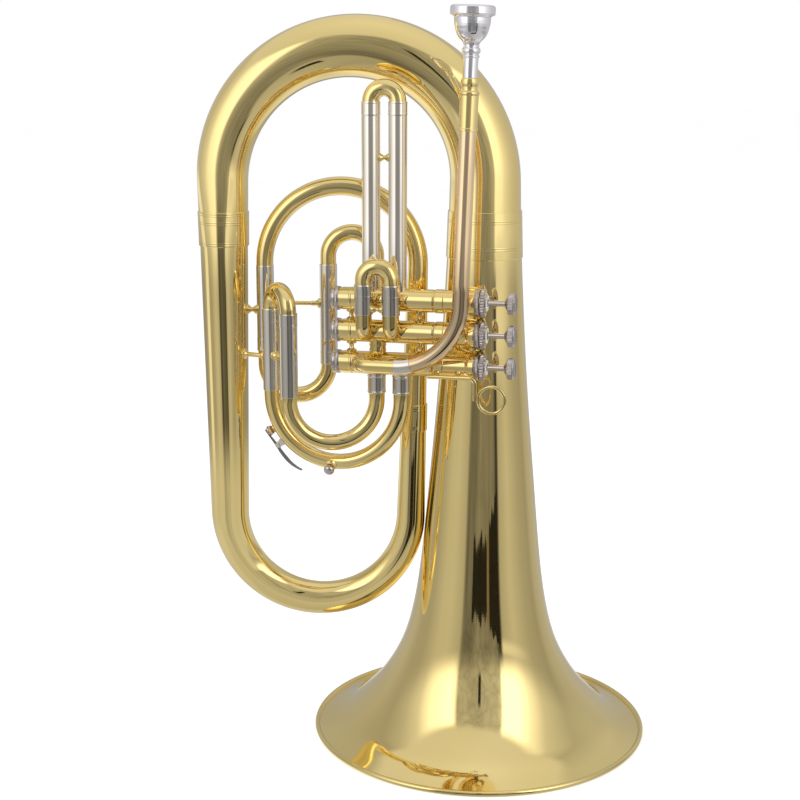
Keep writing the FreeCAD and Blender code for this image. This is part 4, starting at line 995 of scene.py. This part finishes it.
def stays():
    front, rear = third_spots()
    left, right = at(S.tuning_left), at(S.tuning_right)
    first = [at_valves(u, 0, 0) for u in (S.first_left, S.first_right)]
    second = [at_valves(u, S.second_front, 0) for u in (S.second_left, S.second_right)]
    r = S.sleeve
    stay("tuning_stay", left, r, right, r, 388.0, 4.6, 2.2, "slide_braces")
    stay("first_stay", first[0], r, first[1], r, 516.0, 3.4, 1.6, "slide_braces")
    stay("second_stay", second[0], r, second[1], r, 392.0, 3.2, 1.6, "slide_braces")
    stay("third_stay", front, r, rear, r, 346.0, 4.2, 1.9, "slide_braces")
    branch = at(S.left_x)
    stay("upper_stay", branch, 19.7, left, r, 382.0, 4.2, 2.0, "branch_braces")
    stay("lower_stay", branch, 19.1, rear, r, 344.0, 4.6, 2.0, "branch_braces")


def finger_ring():
    """Little-finger ring on a bent wire arm with two feet under the third casing."""
    v, level = S.ring_v, LEVELS["3"] - S.ring_drop
    tube("ring_arm", place(at_valves(-45.0, v, level), U, DOWN),
         [("run", 35.5), ("bend", 5.0, 90), ("run", 14.0)], "deep_brass", 1.9, None, 0, 24,
         5, node="finger_ring", soften=0.4)
    sides = 28
    around = [math.tau * i / sides for i in range(sides)]
    section = [(S.ring_radius + S.ring_wire * math.cos(a), S.ring_wire * math.sin(a))
               for a in around]
    turned("finger_ring", place(at_valves(S.ring_u, v, S.ring_level), -V, -U), section,
           "deep_brass", columns=96)
    heading = at_valves(0, 0, LEVELS["3"]) - at_valves(0, v, level)
    for i, u in enumerate((-38.0, -20.0)):
        turned(f"ring_foot_{i}", place(at_valves(u, v, level), heading, U),
               [(0, 0), (2.4, 0), (2.4, 3.4), (3.4, 5.4), (3.4, 6.4), (0, 6.4)],
               "deep_brass", node="finger_ring", columns=32)


def loop_frame(degrees, outward=0.0):
    """Matrix on the outside of the rear loop, degrees below its sleeve side."""
    rear = third_spots()[1]
    port = at_valves(S.third_rear_u, 0, 0)
    across = rear - port
    sideways = across.normalized()
    centre = (rear + port) / 2 + UP * S.third_spring
    angle = math.radians(degrees)
    out = sideways * math.cos(angle) + DOWN * math.sin(angle)
    tangent = -sideways * math.sin(angle) + DOWN * math.cos(angle)
    return place(centre + out * (across.length / 2 + S.tube + outward), out, tangent)


def shifted(matrix, x, y, z, quarter=True):
    """matrix moved locally; quarter turns it so that local +Z points along -Y."""
    moved = matrix @ Matrix.Translation((x, y, z))
    return moved @ Matrix.Rotation(math.radians(90), 4, "X") if quarter else moved


def water_key():
    """Spout, saddle and sprung lever on the outside of the rear loop."""
    hinge, seat = loop_frame(S.hinge_angle), loop_frame(S.spout_angle)
    turned("drain_spout", seat,
           [(1.6, -1.5), (3.9, -1.5), (3.9, -0.2), (3.2, 0.5), (2.7, 1.2), (2.6, 2.4),
            (1.6, 2.4)], "deep_brass", node="third_slide_loop_rear", columns=40)
    turned("water_key_pad", seat, [(0, 2.4), (3.9, 2.4), (3.9, 4.6), (0, 4.6)], "cork",
           body="water_key", columns=40)
    for i, y in enumerate((-4.6, 4.6)):
        slab(f"saddle_lug_{i}", shifted(hinge, 0, y, 0, False),
             [(-3.2, -1.6), (3.2, -1.6), (2.2, 4.4), (-2.2, 4.4)], 1.8, "nickel_silver",
             {2: (0, 6.4)}, node="water_key_saddle", soften=0.2)
    slab("saddle_foot", hinge, [(-3.6, -2.6), (3.6, -2.6), (3.0, 0.5), (-3.0, 0.5)], 11.4,
         "nickel_silver", node="water_key_saddle", soften=0.3)
    turned("water_key_screw", shifted(hinge, 0, 6.6, S.pivot_height),
           [(0, 0.3), (0.4, 0.3), (0.5, 0), (1.6, 0), (1.9, 0.3), (1.9, 1.0), (1.0, 1.0),
            (1.0, 12.7), (0.7, 13.0), (0, 13.0)],
           "nickel_silver", columns=32)
    turned("lever_barrel", shifted(hinge, 0, 3.6, S.pivot_height),
           [(1.05, 0), (1.9, 0), (1.9, 7.2), (1.05, 7.2)], "chrome_plate",
           body="water_key", node="water_key_lever", columns=32)
    slab("water_key_lever", hinge,
         [(-17.6, 4.6), (-10.6, 5.7), (0, 5.7), (14, 6.4), (29.9, 3.0), (30.5, 3.8),
          (14.6, 9.0), (0, 7.6), (-17.6, 6.2)], 3.4, "dark_chrome",
         {2: (7.2, 6.4), 3: (22.2, 5.7), 5: (23.0, 7.4), 6: (7.2, 8.8)}, body="water_key",
         soften=0.5)
    turned("lever_cup", seat,
           [(0, 4.6), (4.4, 4.6), (4.5, 5.2), (3.2, 6.5), (0, 6.9)], "chrome_plate",
           body="water_key", node="water_key_lever", columns=40)
    coil("water_key_spring", shifted(hinge, 0, 3.25, S.pivot_height), 2.5, 0.35, 0.9,
         1.1, "spring_steel")


def drain_button():
    """Push-button drain low on the rear loop: collar and domed button."""
    heart = loop_frame(S.drain_angle, -S.tube).translation
    matrix = place(heart, -V + DOWN * 0.5, U)
    turned("drain_collar", matrix,
           [(2.45, 5.6), (5.6, 5.6), (5.1, 6.8), (4.9, 7.2), (4.3, 7.6), (4.3, 8.4),
            (4.0, 8.6), (2.45, 8.6)],
           "deep_brass", node="third_slide_loop_rear", columns=48)
    turned("drain_button", matrix,
           [(0, 8.45), (2.4, 8.45), (2.4, 10.25), (3.6, 10.4), (4.7, 12.0), (2.8, 15.0),
            (0, 15.6)], "chrome_plate", {3: (4.4, 11.0), 4: (4.1, 13.9), 5: (1.5, 15.5)},
           body="drain_push", columns=48)


# ---------------------------------------------------------------- studio

# Light level on the tent wall by azimuth in degrees; 0 is behind the camera, 90 to its
# right. Low row: curtain ahead, lit panels at its sides, darker stands, pale backdrop.
LOW_ROW = (
    (-180, 0.32), (-160, 0.42), (-124, 0.48), (-106, 0.40), (-90, 0.40), (-66, 0.56),
    (-50, 0.58), (-31, 0.46), (-25, 0.19), (-13, 0.19), (-4, 0.32), (8, 0.27),
    (27, 0.26), (30.5, 0.05), (34, 0.05), (37, 0.44), (56, 0.58), (84, 0.42),
    (106, 0.36), (118, 0.46), (140, 0.50), (162, 0.44), (180, 0.32),
)
# Middle row: the two large softboxes either side of the curtain.
MIDDLE_ROW = (
    (-180, 0.45), (-160, 0.48), (-130, 0.46), (-106, 0.40), (-90, 0.54), (-76, 0.76),
    (-62, 1.35), (-38, 1.90), (-33, 1.70), (-28, 0.58), (-5, 0.50), (4, 0.54),
    (24, 0.62), (29, 0.74), (33, 2.00), (52, 2.00), (66, 1.20), (82, 0.68),
    (106, 0.46), (140, 0.58), (160, 0.50), (180, 0.45),
)
# Middle row as painted into the reflections of the high parts of the horn: wide panels, a short
# band of curtain.
HIGH_ROW = (
    (-180, 0.52), (-140, 0.56), (-106, 0.60), (-80, 0.80), (-62, 1.20), (-36, 1.45),
    (-28, 0.62), (-20, 0.40), (-4, 0.34), (8, 0.34), (22, 0.46), (28, 0.66), (32, 1.40),
    (50, 1.25), (66, 0.92), (90, 0.72), (120, 0.60), (150, 0.52), (180, 0.52),
)
# Share of the tent's strength on its ground, from azimuth -180 (0) to 180 (1).
GROUND = (
    (0.0, 0.36), (0.10, 0.50), (0.24, 0.50), (0.29, 0.27), (0.42, 0.19), (0.60, 0.26),
    (0.80, 0.30), (0.93, 0.42), (1.0, 0.36),
)
# Stretches of the horn, in metres, whose reflections of the tent are painted: the tent's light
# changes with the place on the horn that mirrors it.
PAINTED_REFLECTION_ZONES = SimpleNamespace(
    block_height=(0.312, 0.412), block_front=(-0.0405, -0.039),
    branch_side=(-0.205, -0.195), branch_top=(0.42, 0.50), tall=(0.39, 0.46),
    low_bow_height=(0.082, 0.255), low_bow_side=(-0.09, -0.06), above_bow=(0.14, 0.24),
)
# Degrees by which the panels are turned in the painted reflections of the valve block and the
# left branch.
BLOCK_TURN, BRANCH_TURN, BRANCH_WIDENING = -16.0, 28.0, 0.8
TENT_STRENGTH = 2.0
TENT_RADIUS = 1.5
TENT_CENTRE = 0.3


def mirror_point(g):
    """Place on the horn whose mirror image of this surface is being looked at."""
    geometry = g.add("ShaderNodeNewGeometry")
    reach = g.add("ShaderNodeLightPath").outputs["Ray Length"]
    return SimpleNamespace(**{
        axis: g.math("MULTIPLY_ADD", back, reach, here)
        for axis, back, here in zip("xyz", g.split(geometry.outputs["Incoming"]),
                                    g.split(geometry.outputs["Position"]))})


def tent_angles(g, coords):
    """Azimuth and height of a place on the tent wall, in degrees."""
    direction = g.add("ShaderNodeVectorMath", operation="NORMALIZE")
    g.feed(direction.inputs[0], coords)
    x, y, z = g.split(direction.outputs["Vector"])
    azimuth = g.math("ARCTAN2", x, g.times(y, -1.0))
    degree = 180 / math.pi
    return g.times(azimuth, degree), g.times(g.math("ARCSINE", z), degree)


def wall_row(g, azimuth, levels):
    share = g.math("MULTIPLY_ADD", azimuth, 1 / 360, 0.5)
    return g.ramp(share, [(degrees / 360 + 0.5, level / TENT_STRENGTH)
                          for degrees, level in levels])


def curtain_folds(g, coords):
    """Soft shading and fine creases of crumpled cloth."""
    warped = g.add("ShaderNodeVectorMath", operation="MULTIPLY_ADD")
    for socket, value in zip(warped.inputs,
                             (g.noise(coords, 2.0, 2.0, 0.5, "Color"), (0.9, 0.9, 0.9), coords)):
        g.feed(socket, value)
    crumple = g.add("ShaderNodeTexVoronoi", feature="DISTANCE_TO_EDGE")
    g.fill(crumple, Scale=3.2, Vector=warped.outputs[0])
    shading = g.ramp(g.noise(coords, 4.0, 5.0, 0.65), ((0.35, 0.80), (0.65, 1.0)))
    crease = g.ramp(crumple.outputs["Distance"], ((0.0, 0.78), (0.05, 0.92), (0.5, 1.1)))
    return g.mix(1.0, shading, crease, "MULTIPLY")


def tent_light():
    """Emission by place on the tent wall, changed for some parts of the horn: painted
    reflections set by where the horn mirrors it.

    Plain levels here are shares of the tent's strength.
    """
    material = bpy.data.materials.new("tent_light")
    material.use_nodes = True
    material.node_tree.nodes.clear()
    material.cycles.emission_sampling = "NONE"
    g = Graph(material.node_tree)
    coords = g.add("ShaderNodeTexCoord").outputs["Object"]
    azimuth, height = tent_angles(g, coords)
    mirror = mirror_point(g)

    # Painted reflections: the valve block's reflection is turned towards the left panel; the
    # left branch's reflection shows a narrower curtain.
    block = g.times(g.span(mirror.z, *PAINTED_REFLECTION_ZONES.block_height, 0.004),
                    g.fall(mirror.y, *PAINTED_REFLECTION_ZONES.block_front))
    azimuth = g.math("MULTIPLY_ADD", block, BLOCK_TURN, azimuth)
    branch = g.times(g.fall(mirror.x, *PAINTED_REFLECTION_ZONES.branch_side), g.fall(mirror.z, *PAINTED_REFLECTION_ZONES.branch_top))
    azimuth = g.times(azimuth, g.math("MULTIPLY_ADD", branch, BRANCH_WIDENING, 1.0))
    azimuth = g.math("MULTIPLY_ADD", branch, BRANCH_TURN, azimuth)

    light = g.mix(g.rise(height, 1.0, 20.0), wall_row(g, azimuth, LOW_ROW),
                  wall_row(g, azimuth, MIDDLE_ROW))
    # Painted reflection: the high parts of the horn mirror the high row instead.
    tall = g.times(g.rise(mirror.z, *PAINTED_REFLECTION_ZONES.tall),
                   g.times(g.math("SUBTRACT", 1.0, block), g.rise(height, -12.0, 2.0)))
    light = g.mix(g.times(tall, 0.8), light, wall_row(g, azimuth, HIGH_ROW))
    # Painted shade: the valve block's reflection of the tent is darkened.
    light = g.mix(g.times(block, 0.28), light, grey(0.0))
    # Painted shade: a near-black strip low in the curtain, in the left branch's reflection only.
    strip = g.times(g.times(branch, g.span(azimuth, -24.0, 32.0, 5.0)),
                    g.fall(height, 0.0, 14.0))
    light = g.mix(g.times(strip, 0.6), light, (0.02, 0.02, 0.015))
    lip = g.times(g.span(height, -2.0, 3.0, 1.8),
                  g.times(g.rise(azimuth, 33.0, 38.0), g.fall(azimuth, 46.0, 84.0)))
    light = g.mix(lip, light, grey(0.40))

    ceiling = g.ramp(g.remap(height, 0.0, 1.0, 50.0, 90.0), ((0.0, 0.36), (1.0, 0.42)))
    edge = g.remap(azimuth, 44.0, 50.0, -40.0, 40.0, True)
    above = g.math("DIVIDE", g.math("SUBTRACT", height, edge), 6.0)
    light = g.mix(g.rise(above, -0.6, 0.6), light, ceiling)

    # Painted highlight: only parts of the horn above the bottom bow mirror this pale sweep.
    sweep = g.times(g.span(azimuth, -146.0, -116.0, 4.0), g.span(height, -60.0, 5.0, 3.0))
    light = g.mix(g.times(g.rise(mirror.z, *PAINTED_REFLECTION_ZONES.above_bow), sweep), light, grey(0.46))

    ground = g.ramp(g.remap(azimuth, 0.0, 1.0, -180.0, 180.0), GROUND)
    light = g.mix(g.fall(height, -30.0, -20.0), light, ground)
    # Painted shade: the bottom bow's reflection of the low tent is a plain dim grey.
    plain = g.times(g.times(g.span(mirror.z, *PAINTED_REFLECTION_ZONES.low_bow_height, 0.035),
                            g.fall(mirror.x, *PAINTED_REFLECTION_ZONES.low_bow_side)),
                    g.fall(height, -2.0, 14.0))
    light = g.mix(g.times(plain, 0.85), light,
                  g.ramp(g.remap(height, 0.0, 1.0, -75.0, 0.0), ((0.0, 0.26), (1.0, 0.34))))

    curtain = g.times(g.span(azimuth, -28.0, 30.0, 1.5), g.span(height, -24.0, 48.0, 4.0))
    light = g.mix(curtain, light, g.mix(1.0, light, curtain_folds(g, coords), "MULTIPLY"))
    slit = g.times(g.span(azimuth, -0.6, 3.0, 0.7), g.span(height, 16.0, 34.0, 3.0))
    light = g.mix(slit, light, (0.008, 0.008, 0.006))

    lamp = g.add("ShaderNodeEmission")
    g.fill(lamp, Color=light, Strength=TENT_STRENGTH)
    g.fill(g.add("ShaderNodeOutputMaterial"), Surface=lamp.outputs[0])
    return material


def staged(name, data, *hidden):
    """Studio object outside the model, hidden from the named kinds of ray."""
    thing = bpy.data.objects.new(name, data)
    for ray in hidden:
        setattr(thing, f"visible_{ray}", False)
    bpy.context.collection.objects.link(thing)
    return thing


def studio_mesh(name, vertices, faces, material):
    mesh = bpy.data.meshes.new(name)
    mesh.from_pydata(vertices, [], faces)
    mesh.materials.append(material)
    return mesh


def tent():
    """White photo tent round the horn; only mirror reflections see it."""
    rows = 48
    outline = []
    for i in range(rows + 1):
        tilt = math.pi * i / rows
        outline.append((TENT_RADIUS * math.sin(tilt), TENT_RADIUS * math.cos(tilt)))
    mesh = studio_mesh("tent", *turned_mesh(outline, 96), tent_light())
    staged("tent", mesh, "camera", "diffuse", "shadow").location = (0, 0, TENT_CENTRE)


def curtain_gap():
    """Dark ragged opening low in the curtain, seen only as a reflection in the bell."""
    rng = random.Random(7)
    count = 34
    left, right, away = -0.125, 0.345, -0.55
    vertices = []
    for i in range(count + 1):
        share = i / count
        x = left + (right - left) * share
        top = 0.131 + 0.085 * max(0.0, share - 0.5) + rng.uniform(-0.010, 0.010)
        vertices += [(x, away, -0.02), (x + rng.uniform(-0.004, 0.004), away, top)]
    faces = [(2 * i, 2 * i + 2, 2 * i + 3, 2 * i + 1) for i in range(count)]
    material, g, shader, coords = surface("black_cloth")
    across = g.remap(g.split(coords)[0], 0.0, 1.0, left, right)
    shade = g.ramp(across, ((0.0, (0.004, 0.004, 0.003)), (0.50, (0.004, 0.004, 0.003)),
                            (0.53, (0.13, 0.10, 0.07)), (0.58, (0.10, 0.08, 0.05)),
                            (0.61, (0.004, 0.004, 0.003))))
    # Painted reflection for the bell: the sheet glows at its own colour, black with a brown
    # stripe, and turns clear where the left branch would mirror it.
    g.fill(shader, Base_Color=shade, Emission_Color=shade, Emission_Strength=1.0,
           Roughness=0.9, Alpha=g.remap(mirror_point(g).x, 0.0, 1.0, -0.165, -0.155))
    staged("curtain_gap", studio_mesh("curtain_gap", vertices, faces, material),
           "camera", "diffuse", "shadow")


def studio_world():
    """Plain white backdrop for the camera and a dimmer even light for everything else."""
    world = bpy.data.worlds.new("studio")
    bpy.context.scene.world = world
    world.use_nodes = True
    world.node_tree.nodes.clear()
    g = Graph(world.node_tree)
    seen = g.add("ShaderNodeLightPath").outputs["Is Camera Ray"]
    light = g.add("ShaderNodeBackground")
    g.fill(light, Color=grey(1.0), Strength=g.remap(seen, 0.6, 1.0))
    g.fill(g.add("ShaderNodeOutputWorld"), Surface=light.outputs[0])


def floor():
    """Pale floor that melts into the backdrop; reflections see the tent's own ground."""
    size = 30.0
    corners = [(-size, -size, 0), (size, -size, 0), (size, size, 0), (-size, size, 0)]
    material, g, shader, coords = surface("pale_floor")
    tone = g.ramp(g.noise(coords, 3.0, 2.0), ((0.3, 0.88), (0.7, 0.92)))
    g.fill(shader, Base_Color=tone, Roughness=0.8, Emission_Color=grey(1.0),
           Emission_Strength=0.45)
    staged("floor", studio_mesh("floor", corners, [(0, 1, 2, 3)], material), "glossy")


def softbox(name, position, target, size, power):
    """Area lamp that lights floor, felt and cork; the metal mirrors only the tent."""
    data = bpy.data.lights.new(name, "AREA")
    data.shape = "RECTANGLE"
    data.size, data.size_y = size
    data.energy = power
    aim = (Vector(target) - Vector(position)).to_track_quat("-Z", "Y")
    lamp = staged(name, data, "glossy")
    lamp.matrix_world = Matrix.Translation(position) @ aim.to_matrix().to_4x4()


def camera():
    """Eye 1.2 m from a horn of 140 mm rim radius, level with the mouthpiece and looking a
    little down and to the left; angles in radians."""
    scale = RIM / 140.0
    yaw, pitch, roll = -0.0565, 0.2132, 0.0014
    look = Vector((math.sin(yaw) * math.cos(pitch), math.cos(yaw) * math.cos(pitch),
                   -math.sin(pitch)))
    right = look.cross(UP).normalized()
    above = right.cross(look)
    across = right * math.cos(roll) + above * math.sin(roll)
    top = across.cross(look)
    data = bpy.data.cameras.new("camera")
    data.sensor_width = 36.0
    data.lens = 67.14
    eye = bpy.data.objects.new("camera", data)
    matrix = Matrix((across, top, -look)).transposed().to_4x4()
    matrix.translation = Vector((0, -1.2, 0.5425)) * scale
    eye.matrix_world = matrix
    bpy.context.collection.objects.link(eye)
    bpy.context.scene.camera = eye


bell()
rim_bead()
big_branches()
valve_block()
tuning_slide()
inner_arch()
first_slide()
second_slide()
third_slide()
leadpipe()
receiver()
mouthpiece()
stays()
finger_ring()
water_key()
drain_button()
studio_world()
tent()
curtain_gap()
floor()
softbox("key", (-1.6, -1.4, 2.2), (0, 0, 0.3), (1.2, 1.6), 28)
softbox("fill", (1.9, -1.0, 1.4), (0, 0, 0.3), (1.0, 1.6), 14)
camera()
bpy.context.scene.view_settings.view_transform = "Standard"
